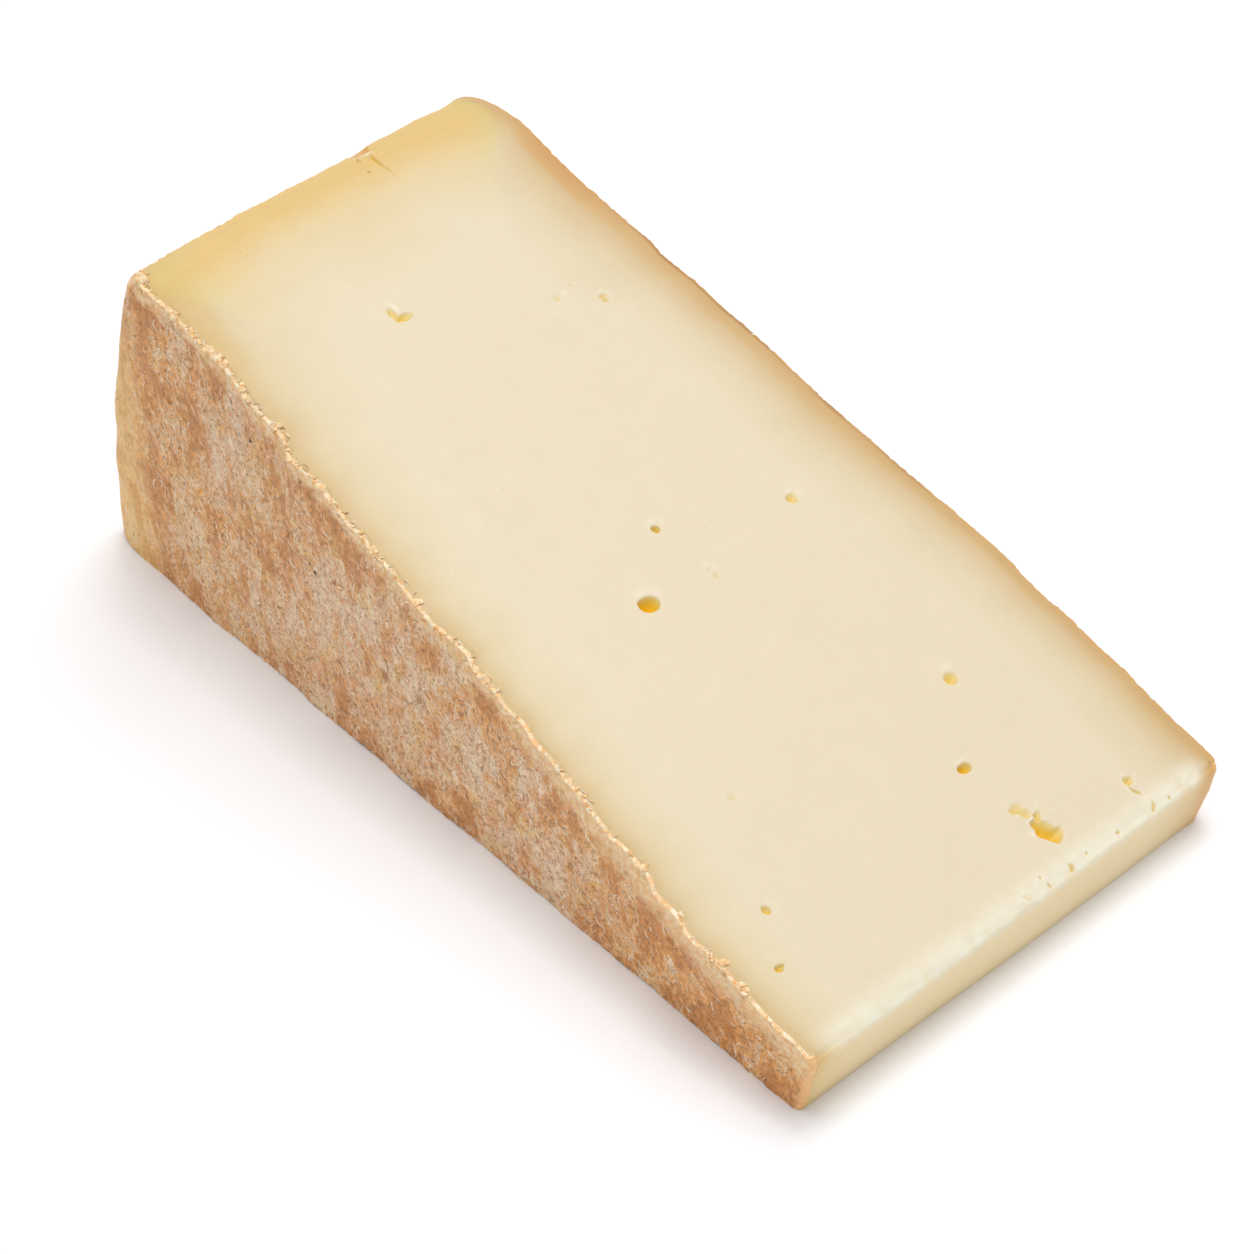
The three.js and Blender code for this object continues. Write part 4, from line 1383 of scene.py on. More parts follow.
def skin_colour(t, settings, skin, dust, bare, ends, golden):
    """Brown skin under pinkish bloom, amber in patches and on the heel, and warmer where bare."""
    dusty = t.ramp(dust, {0.0: settings.brown_colour, 0.35: settings.skin_colour,
                          0.75: settings.bloom_colour, 1.0: settings.web_colour})
    amber = t.ramp(dust, {0.0: AMBER_ENDS[0], 0.5: settings.golden_colour, 1.0: AMBER_ENDS[1]})
    warm = t.ramp(dust, {0.0: WARM_ENDS[0], 0.4: settings.orange_colour, 1.0: WARM_ENDS[1]})
    colour = t.mix(t.step(t.noise(skin, 5.0, 1), *AMBER_SHOWN), dusty, amber)
    colour = t.mix(t.times(bare, BARE_WARMTH), colour, warm)
    colour = t.mix(ends, colour, warm)
    colour = t.mix(t.times(golden, GOLDEN_AMBER), colour, amber)
    rough = t.step(t.noise(skin, 0.8, 3, 0.85), *ROUGH_SHOWN)
    rough = t.times(rough, t.minus(1.0, t.times(golden, GOLDEN_SMOOTH)))
    return t.mix(rough, colour, settings.deep_colour)


def bloom_threads(t, skin, dust, golden):
    """Long pale threads of bloom, closer together where the dust is thick."""
    long = thread_lines(t, strokes(t, skin, *LONG_THREADS), LONG_WIDTH)
    curls = thread_lines(t, strokes(t, skin, *CURLED_THREADS), CURL_WIDTH)
    fine = t.step(strokes(t, skin, *FINE_THREADS), *FINE_SHOWN)
    threads = t.highest(long, fine, t.times(curls, 0.8))
    return t.times(threads, t.step(dust, *THREADS_IN_DUST), t.step(golden, *THREADS_ON_GOLD))


def sunk_colour(t, settings, skin, colour):
    """Brown specks, and brown floors in the pits."""
    specks = t.step(strokes(t, skin, *SPECK_STROKES), *SPECKS_SHOWN)
    colour = t.mix(specks, colour, settings.pit_colour)
    pit = t.attribute("pit")
    colour = t.mix(t.step(pit, *PIT_FLOOR), colour, settings.pit_colour)
    return t.mix(t.step(pit, *DEEP_PIT_FLOOR), colour, settings.deep_colour)


def upper_edge_colour(t, settings, skin, colour, along, right):
    """Waxy and pale under the upper edge, with holes; whitish on the left edge, brown on the right."""
    below = t.attribute("below")
    depth = t.plus(below, t.sway(t.noise(skin, 2.4, 2), 4.0))
    under = t.step(t.over(depth, t.step(along, *WAX_REACH)), *WAX_FADE)
    under = t.times(under, t.step(right, *WAX_BY_SIDE))
    pale = t.step(t.noise(skin, 0.8, 2, 0.7), 0.35, 0.65)
    colour = t.mix(under, colour, t.mix(pale, settings.wax_colour, settings.lip_colour))
    holes = t.times(t.step(t.noise(skin, 0.85, 1), *HOLES_SHOWN), t.step(depth, *HOLES_REACH))
    colour = t.mix(holes, colour, settings.rust_colour)
    lip = t.plus(t.attribute("lip"), t.times(t.noise(skin, 0.7, 2), 0.6))
    broken = t.times(t.step(lip, *LIP_EDGE), t.step(t.noise(skin, 1.1, 2, 0.7), *LIP_BREAKS))
    colour = t.mix(broken, colour, settings.edge_colour)
    return t.mix(t.times(right, t.step(below, *RIGHT_EDGE)), colour, settings.rust_colour)


def fleck_share(t, skin, side):
    """The few near-black flecks of the left flat side."""
    flat = t.vector("MULTIPLY", skin, (1, 0, 1))
    away = [t.vector("DISTANCE", flat, (x + DATUM[0], 0, z + DATUM[2])) for x, z in FLECKS]
    ragged = t.plus(t.chain("MINIMUM", *away), t.noise(skin, 0.5, 1))
    return t.times(t.math("LESS_THAN", ragged, FLECK_SIZE), t.math("LESS_THAN", side, 0.0))


def rind_material(settings):
    """Tan skin woven through with pale bloom, pitted, and waxy and torn at the upper edge."""
    t = new_material("bloomy rind")
    skin = t.attribute("skin", "Vector")
    golden, bloom, bare = (t.attribute(name) for name in ("golden", "bloom", "bare"))
    along, side, _ = t.apart(skin)
    ends = bare_ends(t, skin, along)
    dust = dust_on_skin(t, skin, bloom, t.highest(bare, ends))
    threads = bloom_threads(t, skin, dust, golden)
    colour = skin_colour(t, settings, skin, dust, bare, ends, golden)
    colour = t.mix(threads, colour, settings.web_colour)
    colour = sunk_colour(t, settings, skin, colour)
    colour = upper_edge_colour(t, settings, skin, colour, along, t.step(side, 0.0, 10.0))
    tip = t.plus(t.attribute("from_nose"), t.times(t.noise(skin, 1.2, 2), 1.6))
    colour = t.mix(t.step(tip, *TIP_FADE), colour, settings.wax_colour)
    colour = t.mix(t.step(t.attribute("chipped"), *CHIP_FADE), colour, settings.chip_colour)
    colour = t.mix(fleck_share(t, skin, side), colour, settings.fleck_colour)
    height = t.plus(t.times(dust, 1.2), t.times(threads, 0.6))
    end_material(t, {
        "Base Color": colour, "Normal": bump(t, height, 0.12),
        "Roughness": t.step(dust, 0.2, 0.8, 0.5, 0.85), "Specular IOR Level": 0.3,
    }, through=(0.1, (1.0, 0.5, 0.25), 0.8))


def strand_material(name, colour, shade, pitch):
    """Pale strands, shreds or flakes whose colour changes from one to the next."""
    t = new_material(name)
    place = in_millimetres(t)
    tone = t.step(t.noise(place, pitch, 2), 0.35, 0.65)
    mottled = use_group(t, "Mottling", Place=place, Pitch=pitch * 3, Slow=0.05, Quick=0.06)
    grain = use_group(t, "Soft grain", Place=place, Pitch=0.15)
    end_material(t, {
        "Base Color": t.scaled(t.mix(tone, shade, colour), mottled), "Normal": bump(t, grain, 0.02, 0.6),
        "Roughness": t.step(tone, 0, 1, 0.55, 0.75),
    }, through=(0.2, (1.0, 0.7, 0.5), 0.5))


# ---------------- geometry node trees

# A pattern's chosen cells, by chance, and the pit in each, by distance from its middle.
SMALL_PITS = ((0.62, 0.9), (0.05, 0.36, 1.0, 0.0))
WIDE_PITS = ((0.72, 0.92), (0.04, 0.3, 0.9, 0.0))
WIDE_SCALE = 0.42                # the wide pits' pattern, for a scale of 1 of the small ones'
DENT_GAIN = 1.7


def named(t, name, data_type="FLOAT"):
    return t.add("GeometryNodeInputNamedAttribute", {"Name": name}, data_type=data_type)


def store(t, geometry, name, value, data_type="FLOAT", domain="POINT"):
    return t.add("GeometryNodeStoreNamedAttribute", {"Geometry": geometry, "Name": name, "Value": value},
                 data_type=data_type, domain=domain)


def finish_tree(t, geometry, materials):
    """Ends a tree: instances made real, and a material for each (material, selection)."""
    geometry = t.add("GeometryNodeRealizeInstances", {0: geometry})
    for material, selection in materials:
        inputs = {"Geometry": geometry, "Material": material}
        if selection is not None:
            inputs["Selection"] = selection
        geometry = t.add("GeometryNodeSetMaterial", inputs)
    t.node("NodeGroupOutput", {0: geometry})
    return t.tree


def pits(t, place, scale, chosen, shape):
    """Pits in some cells of a pattern."""
    cells = t.node("ShaderNodeTexVoronoi", {"Vector": place, "Scale": scale}, feature="F1").outputs
    return t.times(t.step(t.apart(cells["Color"])[0], *chosen), t.step(cells["Distance"], *shape))


def rind_relief_tree():
    """Pushes the rind's outer face into knobs, pits and ridges."""
    t, given = new_group("Rind relief", {
        "Geometry": GEOMETRY, "Pit spacing": 1.6, "Pit depth": 0.35, "Knob height": 0.3,
        "Ridge height": 0.08, "Rind": MATERIAL, "Paste": MATERIAL,
    }, ("Geometry", GEOMETRY), "GeometryNodeTree")
    here = t.scaled(t.add("GeometryNodeInputPosition"), 1 / MM)
    geometry = store(t, given["Geometry"], "skin", here, "FLOAT_VECTOR")
    skin = named(t, "skin", "FLOAT_VECTOR")
    bent = t.vector("ADD", skin, t.wander(skin, 0.55, 1.0, 2.6))
    scale = t.over(1.0, given["Pit spacing"])
    calm = t.step(named(t, "golden"), 0, 1, 1, 0.25)
    small, wide = pits(t, bent, scale, *SMALL_PITS), pits(t, bent, t.times(scale, WIDE_SCALE), *WIDE_PITS)
    pit = t.highest(t.times(t.highest(small, wide), calm), t.times(named(t, "dent"), DENT_GAIN))
    geometry = store(t, geometry, "pit", pit)
    edges = t.node("ShaderNodeTexVoronoi", {"Vector": bent, "Scale": scale}, feature="DISTANCE_TO_EDGE")
    ridge = t.times(t.step(edges.outputs["Distance"], 0.0, 0.16, 1, 0), calm)
    knob = t.times(t.sway(t.noise(skin, 1.8, 2, 0.75), given["Knob height"]), t.step(calm, 0, 1, 0.3, 1))
    height = t.minus(t.plus(knob, t.times(ridge, given["Ridge height"])),
                     t.times(named(t, "pit"), given["Pit depth"]))
    offset = t.scaled(t.add("GeometryNodeInputNormal"), t.times(height, named(t, "outer"), MM))
    geometry = t.add("GeometryNodeSetPosition", {"Geometry": geometry, "Offset": offset})
    on_rim = t.math("GREATER_THAN", named(t, "rim"), 0.2)
    return finish_tree(t, geometry, ((given["Rind"], None), (given["Paste"], on_rim)))


def points_on(t, given, seed):
    """Points spread over the surface, more where the named field is high."""
    per_area = t.times(named(t, given["Field"]), given["Density"], 1 / MM**2)
    return t.node("GeometryNodeDistributePointsOnFaces", {
        "Mesh": given["Geometry"], "Density": per_area, "Seed": seed,
    }, distribute_method="RANDOM").outputs


def random_value(t, low, high, seed):
    return t.node("FunctionNodeRandomValue", {2: low, 3: high, "Seed": seed}, data_type="FLOAT").outputs[1]


def turned(t, rotation, axis, angle):
    turn = t.add("FunctionNodeAxisAngleToRotation", {0: axis, 1: angle})
    return t.add("FunctionNodeRotateRotation", {0: rotation, 1: turn}, rotation_space="LOCAL")


# The middle of each strand's curve: x, and y for a bend of 1.
STRAND_BENDS = ((0.1, 0.5), (-0.15, -0.9), (0.0, 1.3), (0.2, -0.4))
STRAND_GIRTHS = (0.7, 1.35)
STRAND_TIP = 0.3                 # how thick a strand's ends are, for a middle of 1


def strand_curves(t, given):
    """A few bent curves of length 1 to pick from."""
    curves = t.node("GeometryNodeJoinGeometry")
    for x, y in STRAND_BENDS:
        middle = t.joined(x, t.times(given["Bend"], y), t.times(given["Tilt"], 0.5))
        curve = t.add("GeometryNodeCurveQuadraticBezier", {
            "Resolution": 4, "Start": (-0.5, 0, 0), "Middle": middle, "End": (0.5, 0, 0),
        })
        whole = t.add("GeometryNodeGeometryToInstance", {0: curve})
        t.tree.links.new(whole, curves.inputs[0])
    return curves.outputs[0]


def strand_instances(t, given, seed):
    """The curves strewn over the surface, roughly along the strokes of the bloom."""
    points = points_on(t, given, seed)
    rotation = t.add("FunctionNodeAlignRotationToVector", {
        "Rotation": points["Rotation"], "Vector": STROKE_DIRECTION,
    }, axis="X", pivot_axis="Z")
    rotation = turned(t, rotation, (0, 0, 1), t.times(random_value(t, -1.0, 1.0, seed + 1), given["Stray"]))
    rotation = turned(t, rotation, (0, 1, 0), t.times(random_value(t, -1.0, 1.0, seed + 2), given["Tilt"]))
    length = t.times(random_value(t, given["Shortest"], given["Longest"], seed + 3), MM)
    pick = t.node("FunctionNodeRandomValue", {4: 0, 5: len(STRAND_BENDS) - 1, "Seed": seed + 5},
                  data_type="INT").outputs[2]
    instances = t.add("GeometryNodeInstanceOnPoints", {
        "Points": points["Points"], "Instance": strand_curves(t, given), "Pick Instance": True,
        "Instance Index": pick, "Rotation": rotation, "Scale": t.joined(length, length, length),
    })
    instances = store(t, instances, "girth", random_value(t, *STRAND_GIRTHS, seed + 4), domain="INSTANCE")
    return t.add("GeometryNodeRealizeInstances", {0: instances})


def laid_on_surface(t, curves, given):
    """Brings each strand to the surface, as closely as "Cling" says."""
    own = t.add("GeometryNodeInputPosition")
    surface = t.add("GeometryNodeProximity", {0: given["Geometry"]}, target_element="FACES")
    upright = t.add("GeometryNodeSampleNearestSurface", {
        "Mesh": given["Geometry"], "Value": t.add("GeometryNodeInputNormal"),
    }, data_type="FLOAT_VECTOR")
    lifted = t.vector("ADD", surface, t.scaled(upright, t.times(given["Lift"], MM)))
    settled = t.vector("ADD", own, t.scaled(t.vector("SUBTRACT", lifted, own), given["Cling"]))
    return t.add("GeometryNodeSetPosition", {"Geometry": curves, "Position": settled})


def strand_tree(name, seed):
    """Scatters small bent strands over a surface, more where the named field is high."""
    t, given = new_group(name, {
        "Geometry": GEOMETRY, "Field": TEXT, "Density": 1.0, "Shortest": 0.8, "Longest": 2.0,
        "Width": 0.12, "Bend": 0.3, "Tilt": 0.1, "Stray": 3.14, "Cling": 1.0, "Lift": 0.03,
        "Sides": 3, "Material": MATERIAL,
    }, ("Geometry", GEOMETRY), "GeometryNodeTree")
    curves = laid_on_surface(t, strand_instances(t, given, seed), given)
    along = t.node("GeometryNodeSplineParameter").outputs["Factor"]
    swell = t.math("SINE", t.times(along, math.pi))
    taper = t.plus(STRAND_TIP, t.times(swell, 1 - STRAND_TIP))
    girth = t.times(named(t, "girth"), given["Width"], 0.5 * MM)
    ring = t.add("GeometryNodeCurvePrimitiveCircle", {"Resolution": given["Sides"], "Radius": 1.0},
                 mode="RADIUS")
    tubes = t.add("GeometryNodeCurveToMesh", {
        "Curve": curves, "Profile Curve": ring, "Scale": t.times(taper, girth), "Fill Caps": True,
    })
    return finish_tree(t, tubes, ((given["Material"], None),))


FLAKE_WIDTHS = (0.45, 0.8)       # the range of a flake's width, for a length of 1
LUMP_PITCH = 0.45


def flake_tree(name, seed):
    """Scatters small lumpy flakes over a surface, more where the named field is high."""
    t, given = new_group(name, {
        "Geometry": GEOMETRY, "Field": TEXT, "Density": 1.0, "Smallest": 0.3, "Largest": 1.3,
        "Flatness": 0.45, "Lumps": 0.5, "Material": MATERIAL,
    }, ("Geometry", GEOMETRY), "GeometryNodeTree")
    points = points_on(t, given, seed)
    flake = t.node("GeometryNodeMeshUVSphere", {"Segments": 8, "Rings": 5, "Radius": 0.5}).outputs["Mesh"]
    smallest, largest = (t.times(given[label], MM) for label in ("Smallest", "Largest"))
    size = t.plus(t.times(random_value(t, 0.0, 1.0, seed + 2), t.minus(largest, smallest)), smallest)
    instances = t.add("GeometryNodeInstanceOnPoints", {
        "Points": points["Points"], "Instance": flake,
        "Rotation": turned(t, points["Rotation"], (0, 0, 1), random_value(t, 0.0, math.tau, seed + 1)),
        "Scale": t.joined(size, t.times(size, random_value(t, *FLAKE_WIDTHS, seed + 3)),
                          t.times(size, given["Flatness"])),
    })
    flakes = t.add("GeometryNodeRealizeInstances", {0: instances})
    own = t.add("GeometryNodeInputPosition")
    push = t.wander(own, 1 / (LUMP_PITCH * MM), 1.0, t.times(given["Lumps"], MM))
    flakes = t.add("GeometryNodeSetPosition", {"Geometry": flakes, "Offset": push})
    return finish_tree(t, flakes, ((given["Material"], None),))


# ---------------- settings


def colour_property(name, description, colour):
    return bpy.props.FloatVectorProperty(
        name=name, description=description, subtype="COLOR", size=3, min=0, max=1, default=srgb(*colour)
    )


def length_property(name, description, millimetres, highest=10.0):
    return bpy.props.FloatProperty(
        name=name, description=description, default=millimetres * MM, min=0.0, max=highest * MM,
        unit="LENGTH", precision=5,
    )


def number_property(name, description, default, highest, lowest=0.0, unit="NONE"):
    return bpy.props.FloatProperty(
        name=name, description=description, default=default, min=lowest, max=highest, unit=unit
    )


class PasteSettings(bpy.types.PropertyGroup):
    rind_thickness: length_property("Rind thickness", "How thick the skin round the paste is", 1.3)
    relief: length_property("Cut face waves", "Height of the cut face's faint waves", 0.05)
    light: bpy.props.FloatVectorProperty(
        name="Light on the cut face", description="How far the stage light lifts the cut face's own colour",
        default=(1.137, 1.149, 1.185), size=3, min=0.3, max=3.0,
    )
    edge_colour: colour_property("Edge line", "The thin brown line under the far rind", (176, 128, 74))
    # The nose's colour is painted lighter than the cut face's own: painted light on the nose face.
    nose_painted_light_colour: colour_property("Nose", "The narrow end face", (247, 224, 177))
    # The painted highlights beside the hollows' rims.
    spot_highlight_colour: colour_property("Highlight spots", "The rubbed spots beside the hollows", (243, 234, 216))
    # The painted highlight along the rounded edge over the nose, brighter where it turns down.
    edge_highlight_colour: colour_property("Highlit edge", "The rubbed edge over the nose", (236, 229, 207))
    turned_highlight_colour: colour_property("Turned edge", "The rubbed edge where it turns down", (252, 245, 224))


class RindSettings(bpy.types.PropertyGroup):
    fine: length_property("Fine spacing", "Mesh spacing on the side that shows most", 0.38)
    coarse: length_property("Coarse spacing", "Mesh spacing on the far side and the heel", 0.62)
    lip_relief: length_property("Torn lip", "Height of the torn upper edge", 0.35)
    pit_spacing: number_property("Pit spacing", "Millimetres from one small pit to the next", 1.6, 6, 0.5)
    pit_depth: number_property("Pit depth", "Depth of the small pits in millimetres", 0.3, 1)
    knob_height: number_property("Knob height", "Height of the small knobs in millimetres", 0.5, 1)
    ridge_height: number_property("Ridge height", "Height of the ridges between pits in millimetres", 0.08, 1)
    skin_colour: colour_property("Skin", "The tan skin", (244, 179, 114))
    brown_colour: colour_property("Brown skin", "The bare brown skin", (214, 146, 84))
    orange_colour: colour_property("Warm skin", "The barer, warmer skin", (254, 178, 88))
    golden_colour: colour_property("Golden skin", "The skin near the heel", (255, 212, 138))
    bloom_colour: colour_property("Bloom", "The dusty pinkish bloom", (246, 199, 162))
    web_colour: colour_property("Threads", "The pale threads of the bloom", (255, 228, 196))
    pit_colour: colour_property("Pits", "Specks and small pits", (176, 112, 58))
    deep_colour: colour_property("Deep pits", "The floor of the deeper pits", (148, 98, 56))
    wax_colour: colour_property("Wax", "The waxy skin under the upper edge", (255, 202, 140))
    lip_colour: colour_property("Lip", "The palest skin under the upper edge", (255, 232, 190))
    edge_colour: colour_property("Edge", "The broken line along the left upper edge", (255, 240, 212))
    rust_colour: colour_property("Rust", "Holes along the torn edge, and the right edge", (224, 160, 74))
    chip_colour: colour_property("Chip", "Skin bared by the chipped heel edge", (228, 178, 112))
    fleck_colour: colour_property("Flecks", "The few near-black flecks", (60, 46, 40))


class StrandSettings(bpy.types.PropertyGroup):
    fibres: number_property("Fibres", "Bloom fibres for each square millimetre", 0.36, 1)
    fibre_length: length_property("Fibre length", "Length of the longest bloom fibres", 2.4)
    fibre_width: length_property("Fibre width", "Width of a bloom fibre", 0.26)
    fibre_colour: colour_property("Fibres", "The bloom's pale fibres", (255, 230, 200))
    fibre_shade: colour_property("Duller fibres", "The duller of the bloom's fibres", (244, 204, 162))
    shreds: number_property("Shreds", "Shreds for each square millimetre of the lip", 2.2, 5)
    shred_length: length_property("Shred length", "Length of the longest shreds on the lip", 1.7)
    shred_width: length_property("Shred width", "Width of a shred", 0.26)
    shred_colour: colour_property("Shreds", "The torn shreds on the lip", (250, 236, 208))
    shred_shade: colour_property("Duller shreds", "The duller of the torn shreds", (226, 190, 138))
    flakes: number_property("Flakes", "Flakes for each square millimetre of the lip", 1.8, 5)
    flake_size: length_property("Flake size", "Length of the largest flakes on the lip", 1.9)
    flake_colour: colour_property("Flakes", "The crumbly flakes on the lip", (255, 226, 184))
    flake_shade: colour_property("Duller flakes", "The duller of the flakes", (238, 188, 126))


class StageSettings(bpy.types.PropertyGroup):
    sky: number_property("Room light", "Strength of the even light from all round", 0.48, 5)
    box_power: number_property("Soft box", "Power of the soft box overhead", 40.0, 1000, unit="POWER")
    side_power: number_property("Side box", "Power of the soft box behind the far side", 24.5, 1000,
                                unit="POWER")
    box_size: number_property("Soft box size", "Side of each soft box", 1.6, 10, 0.1, "LENGTH")
    floor_colour: colour_property("Floor", "The plain pale floor", (248, 249, 252))


# ---------------- operators

SHARP, STRAND_SHARP = math.radians(38), math.radians(60)
PASTE_OVERLAP = 0.12             # how far the paste reaches into the rind
PASTE_PITCHES = (0.12, 0.3, 0.8)         # at the hollows, round them and elsewhere
RIND_FIELDS = (
    "outer", "lip", "wear", "rim", "bloom", "bare", "dent", "golden", "below", "from_right", "from_nose",
    "left_band", "right_band", "heel_band", "edge_line", "cavity", "rubbed", "chipped",
)


def set_inputs(modifier, values):
    """Sets a geometry node modifier's named inputs by their identifiers."""
    for item in modifier.node_group.interface.items_tree:
        if item.item_type == "SOCKET" and item.in_out == "INPUT" and item.name in values:
            modifier[item.identifier] = values.pop(item.name)
    if values:
        raise RuntimeError(f"no such inputs: {sorted(values)}")


def run_tree(piece, tree, values):
    """Runs a geometry node tree on the piece and keeps its result as a plain mesh."""
    modifier = piece.modifiers.new(tree.name, "NODES")
    modifier.node_group = tree
    set_inputs(modifier, dict(values))
    bake(piece)
    if not piece.data.polygons:
        raise RuntimeError(f"{piece.name} came out empty")


def scatter(name, tree, keep, material, values):
    """A new piece of small things spread over the rind, as thickly as `keep` says."""
    rind = bpy.data.objects.get("rind")
    if rind is None:
        raise RuntimeError("the rind has to be made first")
    piece = bpy.data.objects.new(name, rind.data.copy())
    bpy.context.scene.collection.objects.link(piece)
    write_attribute(piece.data, "field", keep(piece.data))
    piece.data.update()
    finish = bpy.data.materials[material]
    run_tree(piece, tree, {"Field": "field", "Material": finish, **values})
    mesh = piece.data
    mesh.materials.clear()
    mesh.materials.append(finish)
    mesh.polygons.foreach_set("material_index", np.zeros(len(mesh.polygons), dtype=np.int32))
    for label in ("field", "skin", "pit", *RIND_FIELDS):
        layer = mesh.attributes.get(label)
        if layer:
            mesh.attributes.remove(layer)
    finish_piece(piece, STRAND_SHARP)


class OBJECT_OT_cheese_materials(bpy.types.Operator):
    """Make the finishes that every piece of the wedge uses"""
    bl_idname = "object.cheese_materials"
    bl_label = "Finishes"

    def execute(self, context):
        mottling_group()
        grain_group()
        scene = context.scene
        strands = scene.cheese_strands
        paste_material(scene.cheese_paste)
        rind_material(scene.cheese_rind)
        strand_material("bloom fibres", strands.fibre_colour, strands.fibre_shade, 2.5)
        strand_material("torn shreds", strands.shred_colour, strands.shred_shade, 1.5)
        strand_material("lip flakes", strands.flake_colour, strands.flake_shade, 0.8)
        return {"FINISHED"}


class OBJECT_OT_cheese_paste(bpy.types.Operator):
    """Make the pressed paste with its cut face, nose, eyes and cracks"""
    bl_idname = "object.cheese_paste"
    bl_label = "Paste"

    def execute(self, context):
        settings = context.scene.cheese_paste
        sheets = paste_sheets(settings.rind_thickness / MM, PASTE_OVERLAP, *PASTE_PITCHES)
        piece = solid("paste", sheets, ("front", "upper"))
        piece.data.materials.append(bpy.data.materials["pressed paste"])
        shape_paste(piece, settings.relief / MM)
        finish_piece(piece, SHARP, replaces=True)
        return {"FINISHED"}


class OBJECT_OT_cheese_rind(bpy.types.Operator):
    """Make the rind round the paste, with its knobs, pits and torn upper lip"""
    bl_idname = "object.cheese_rind"
    bl_label = "Rind"

    def execute(self, context):
        settings = context.scene.cheese_rind
        thickness = context.scene.cheese_paste.rind_thickness / MM
        sheets = rind_sheets(thickness, settings.fine / MM, settings.coarse / MM)
        piece = solid("rind", sheets, ("outer", "lip", "wear", "rim"))
        shape_rind(piece, settings.lip_relief / MM)
        run_tree(piece, rind_relief_tree(), {
            "Pit spacing": settings.pit_spacing, "Pit depth": settings.pit_depth,
            "Knob height": settings.knob_height, "Ridge height": settings.ridge_height,
            "Rind": bpy.data.materials["bloomy rind"], "Paste": bpy.data.materials["pressed paste"],
        })
        finish_piece(piece, SHARP, replaces=True)
        return {"FINISHED"}


def bloom_density(mesh):
    """Fibres lie on the outer face below the lip, more in the bloom and less on bare or golden skin."""
    outer, lip, bloom, bare, golden = (
        attribute_values(mesh, label) for label in ("outer", "lip", "bloom", "bare", "golden")
    )
    return outer * (lip < 0.1) * np.maximum(0.1, 0.5 + bloom - 0.4 * bare) * (1 - 0.8 * golden)


def shred_density(mesh):
    """Shreds hang on the lip in uneven tufts."""
    x, y, z = coordinates(mesh).T
    tufts = 0.4 + np.maximum(0, noise(x, y, z, 2.4))
    return attribute_values(mesh, "lip") * np.interp(x, *zip(*SHRED_CROWDS)) * tufts


def flake_density(mesh):
    """Flakes lie on the left lip in clusters."""
    x, y, _ = coordinates(mesh).T
    clusters = 2.5 * np.maximum(0, noise(x, 0, 3, 2.2) - 0.02)
    return (attribute_values(mesh, "lip") > 0.3) * (y < 0) * np.interp(x, *zip(*FLAKE_CROWDS)) * clusters


# How thickly shreds and flakes lie along the lip: x, share.
SHRED_CROWDS = ((-5, 0), (12, 0.4), (20, 1.2), (46, 1.2), (60, 0.7), (90, 0.8), (130, 0.6), (158, 0.2))
FLAKE_CROWDS = ((6, 0), (8, 0.5), (11, 2.4), (18, 2.4), (21, 1.8), (24, 1.2), (26, 2.6), (29, 2.6), (31, 2.4),
                (35, 2.6), (40, 1.0), (60, 0.7), (74, 0.9), (90, 0.5), (110, 0.5), (135, 0.7), (150, 0.4),
                (158, 0.1))


class OBJECT_OT_cheese_bloom(bpy.types.Operator):
    """Scatter the bloom's short pale fibres over the rind"""
    bl_idname = "object.cheese_bloom"
    bl_label = "Bloom fibres"

    def execute(self, context):
        settings = context.scene.cheese_strands
        scatter("bloom_fibres", strand_tree("Bloom fibres", 7), bloom_density, "bloom fibres", {
            "Density": settings.fibres, "Shortest": 0.5, "Longest": settings.fibre_length / MM,
            "Width": settings.fibre_width / MM, "Bend": 0.6, "Tilt": 0.0, "Stray": 0.9, "Lift": 0.0,
        })
        return {"FINISHED"}


class OBJECT_OT_cheese_shreds(bpy.types.Operator):
    """Scatter the torn shreds along the rind's upper lip"""
    bl_idname = "object.cheese_shreds"
    bl_label = "Torn shreds"

    def execute(self, context):
        settings = context.scene.cheese_strands
        scatter("torn_shreds", strand_tree("Torn shreds", 23), shred_density, "torn shreds", {
            "Density": settings.shreds, "Shortest": 0.4, "Longest": settings.shred_length / MM,
            "Width": settings.shred_width / MM, "Bend": 0.6, "Tilt": 0.7, "Cling": 0.5, "Lift": 0.04,
            "Sides": 4,
        })
        return {"FINISHED"}


class OBJECT_OT_cheese_flakes(bpy.types.Operator):
    """Scatter the crumbly flakes along the rind's upper lip"""
    bl_idname = "object.cheese_flakes"
    bl_label = "Lip flakes"

    def execute(self, context):
        settings = context.scene.cheese_strands
        scatter("lip_flakes", flake_tree("Lip flakes", 41), flake_density, "lip flakes", {
            "Density": settings.flakes, "Largest": settings.flake_size / MM, "Flatness": 0.42, "Lumps": 0.9,
        })
        return {"FINISHED"}


# ---------------- the stage, in metres

FLOOR_HALF = 4.0
# Each soft box: the way it stands in plan, its height, its distance in plan, its power's setting.
SOFT_BOXES = (
    ("overhead box", (0, 0), 3.0, 0.0, "box_power"),
    ("side box", (-0.4, 0.916), 2.78, 1.12, "side_power"),
)
CAMERA_AT = (0.21310, -0.18317, 0.22575)
CAMERA_TOWARDS = (-0.58670, 0.52582, -0.61587)
CAMERA_LENS = 66.03


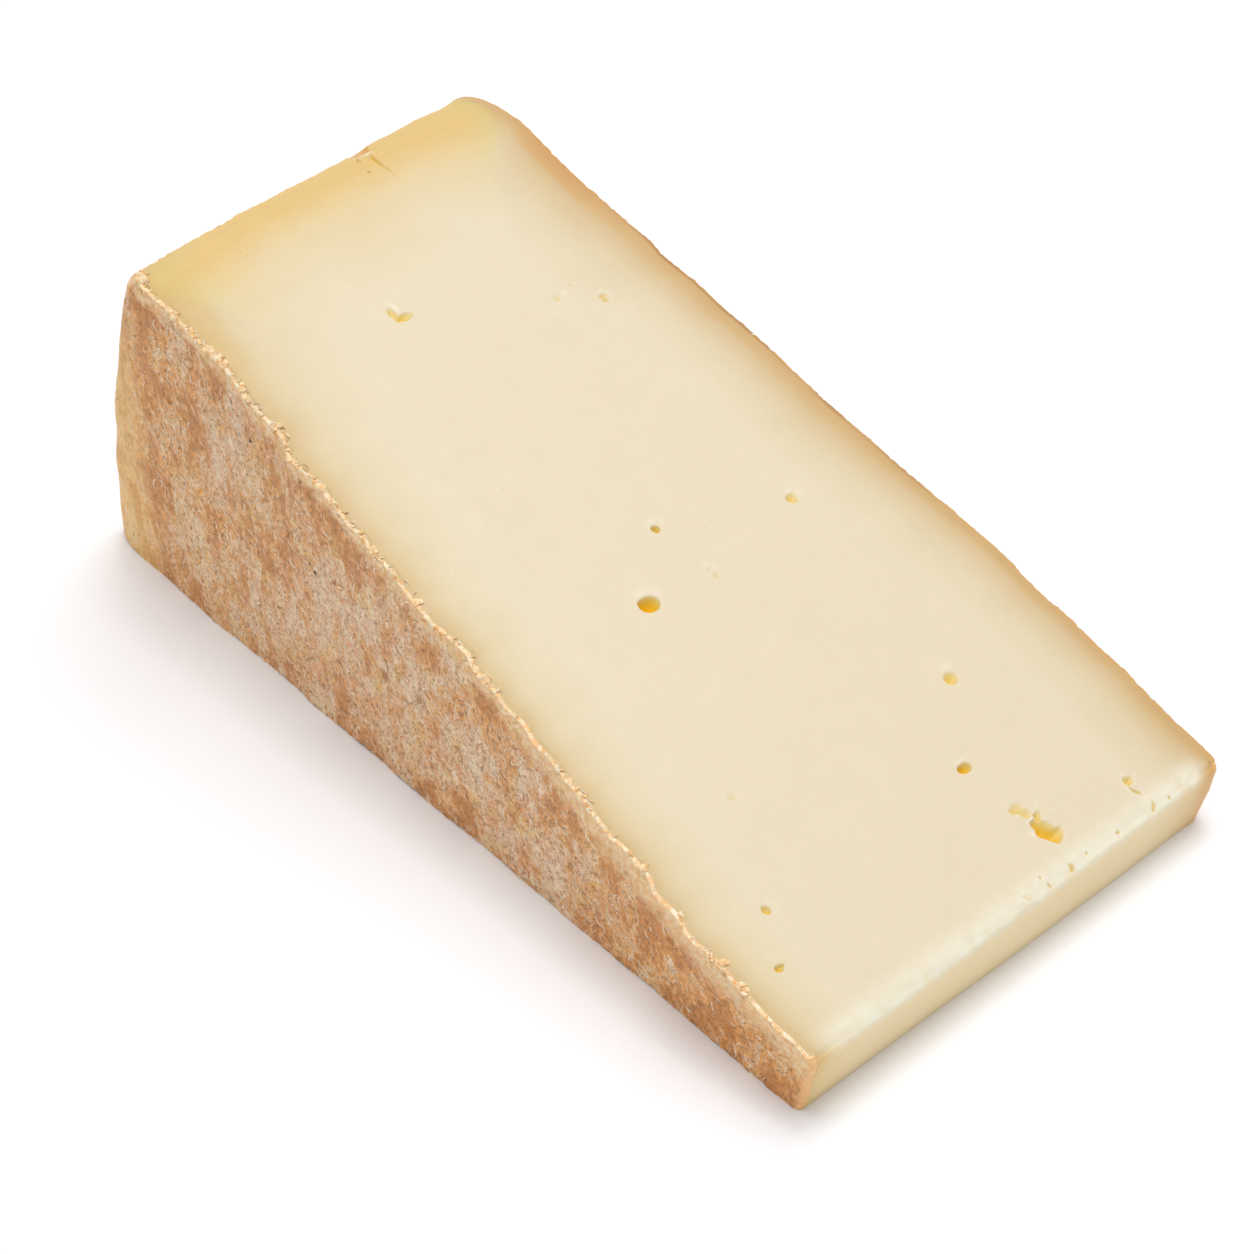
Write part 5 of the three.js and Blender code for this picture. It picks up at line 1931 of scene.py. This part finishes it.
def add_floor(scene, colour):
    mesh = bpy.data.meshes.new("floor")
    corners = ((-1, -1), (1, -1), (1, 1), (-1, 1))
    mesh.from_pydata([(x * FLOOR_HALF, y * FLOOR_HALF, 0) for x, y in corners], [], [(0, 1, 2, 3)])
    floor = bpy.data.objects.new("floor", mesh)
    scene.collection.objects.link(floor)
    t = new_material("pale floor")
    tone = t.step(t.noise(in_millimetres(t), 90.0, 2), 0.3, 0.7, 0.995, 1.005)
    end_material(t, {"Base Color": t.scaled(colour, tone), "Roughness": 0.9, "Specular IOR Level": 0.0})
    mesh.materials.append(bpy.data.materials["pale floor"])


def add_soft_box(scene, name, toward, height, distance, size, power):
    data = bpy.data.lights.new(name, "AREA")
    data.shape = "SQUARE"
    data.size = size
    data.energy = power
    light = bpy.data.objects.new(name, data)
    light.location = (toward[0] * distance, toward[1] * distance, height)
    light.rotation_euler = (-light.location).to_track_quat("-Z", "Y").to_euler()
    scene.collection.objects.link(light)


def add_camera(scene):
    camera = bpy.data.objects.new("camera", bpy.data.cameras.new("camera"))
    camera.location = CAMERA_AT
    camera.rotation_euler = Vector(CAMERA_TOWARDS).to_track_quat("-Z", "Y").to_euler()
    camera.data.lens = CAMERA_LENS
    camera.data.clip_start = 0.01
    scene.collection.objects.link(camera)
    scene.camera = camera


class OBJECT_OT_cheese_stage(bpy.types.Operator):
    """Set up the pale floor, the soft light and the camera"""
    bl_idname = "object.cheese_stage"
    bl_label = "Stage"

    def execute(self, context):
        scene = context.scene
        settings = scene.cheese_stage
        add_floor(scene, settings.floor_colour)
        world = bpy.data.worlds.new("room")
        world.use_nodes = True
        background = world.node_tree.nodes["Background"]
        background.inputs["Color"].default_value = (1, 1, 1, 1)
        background.inputs["Strength"].default_value = settings.sky
        scene.world = world
        for *box, power in SOFT_BOXES:
            add_soft_box(scene, *box, settings.box_size, getattr(settings, power))
        add_camera(scene)
        scene.view_settings.view_transform = "Standard"
        return {"FINISHED"}


class VIEW3D_PT_cheese_wedge(bpy.types.Panel):
    """Sizes, colours and steps of the cheese wedge"""
    bl_label = "Cheese wedge"
    bl_idname = "VIEW3D_PT_cheese_wedge"
    bl_space_type = "VIEW_3D"
    bl_region_type = "UI"
    bl_category = "Cheese"

    def draw(self, context):
        for name, group in SETTINGS.items():
            box = self.layout.box()
            for prop in group.__annotations__:
                box.prop(getattr(context.scene, name), prop)
        for step in STEPS:
            self.layout.operator(step.bl_idname)


SETTINGS = {
    "cheese_paste": PasteSettings, "cheese_rind": RindSettings,
    "cheese_strands": StrandSettings, "cheese_stage": StageSettings,
}
STEPS = (
    OBJECT_OT_cheese_stage, OBJECT_OT_cheese_materials, OBJECT_OT_cheese_paste, OBJECT_OT_cheese_rind,
    OBJECT_OT_cheese_bloom, OBJECT_OT_cheese_shreds, OBJECT_OT_cheese_flakes,
)
CLASSES = (*SETTINGS.values(), *STEPS, VIEW3D_PT_cheese_wedge)


def register():
    for made in CLASSES:
        bpy.utils.register_class(made)
    for name, group in SETTINGS.items():
        setattr(bpy.types.Scene, name, bpy.props.PointerProperty(type=group))


def unregister():
    for name in SETTINGS:
        delattr(bpy.types.Scene, name)
    for made in reversed(CLASSES):
        bpy.utils.unregister_class(made)


def main():
    register()
    for step in STEPS:
        category, name = step.bl_idname.split(".")
        getattr(getattr(bpy.ops, category), name)()


if __name__ == "__main__":
    main()
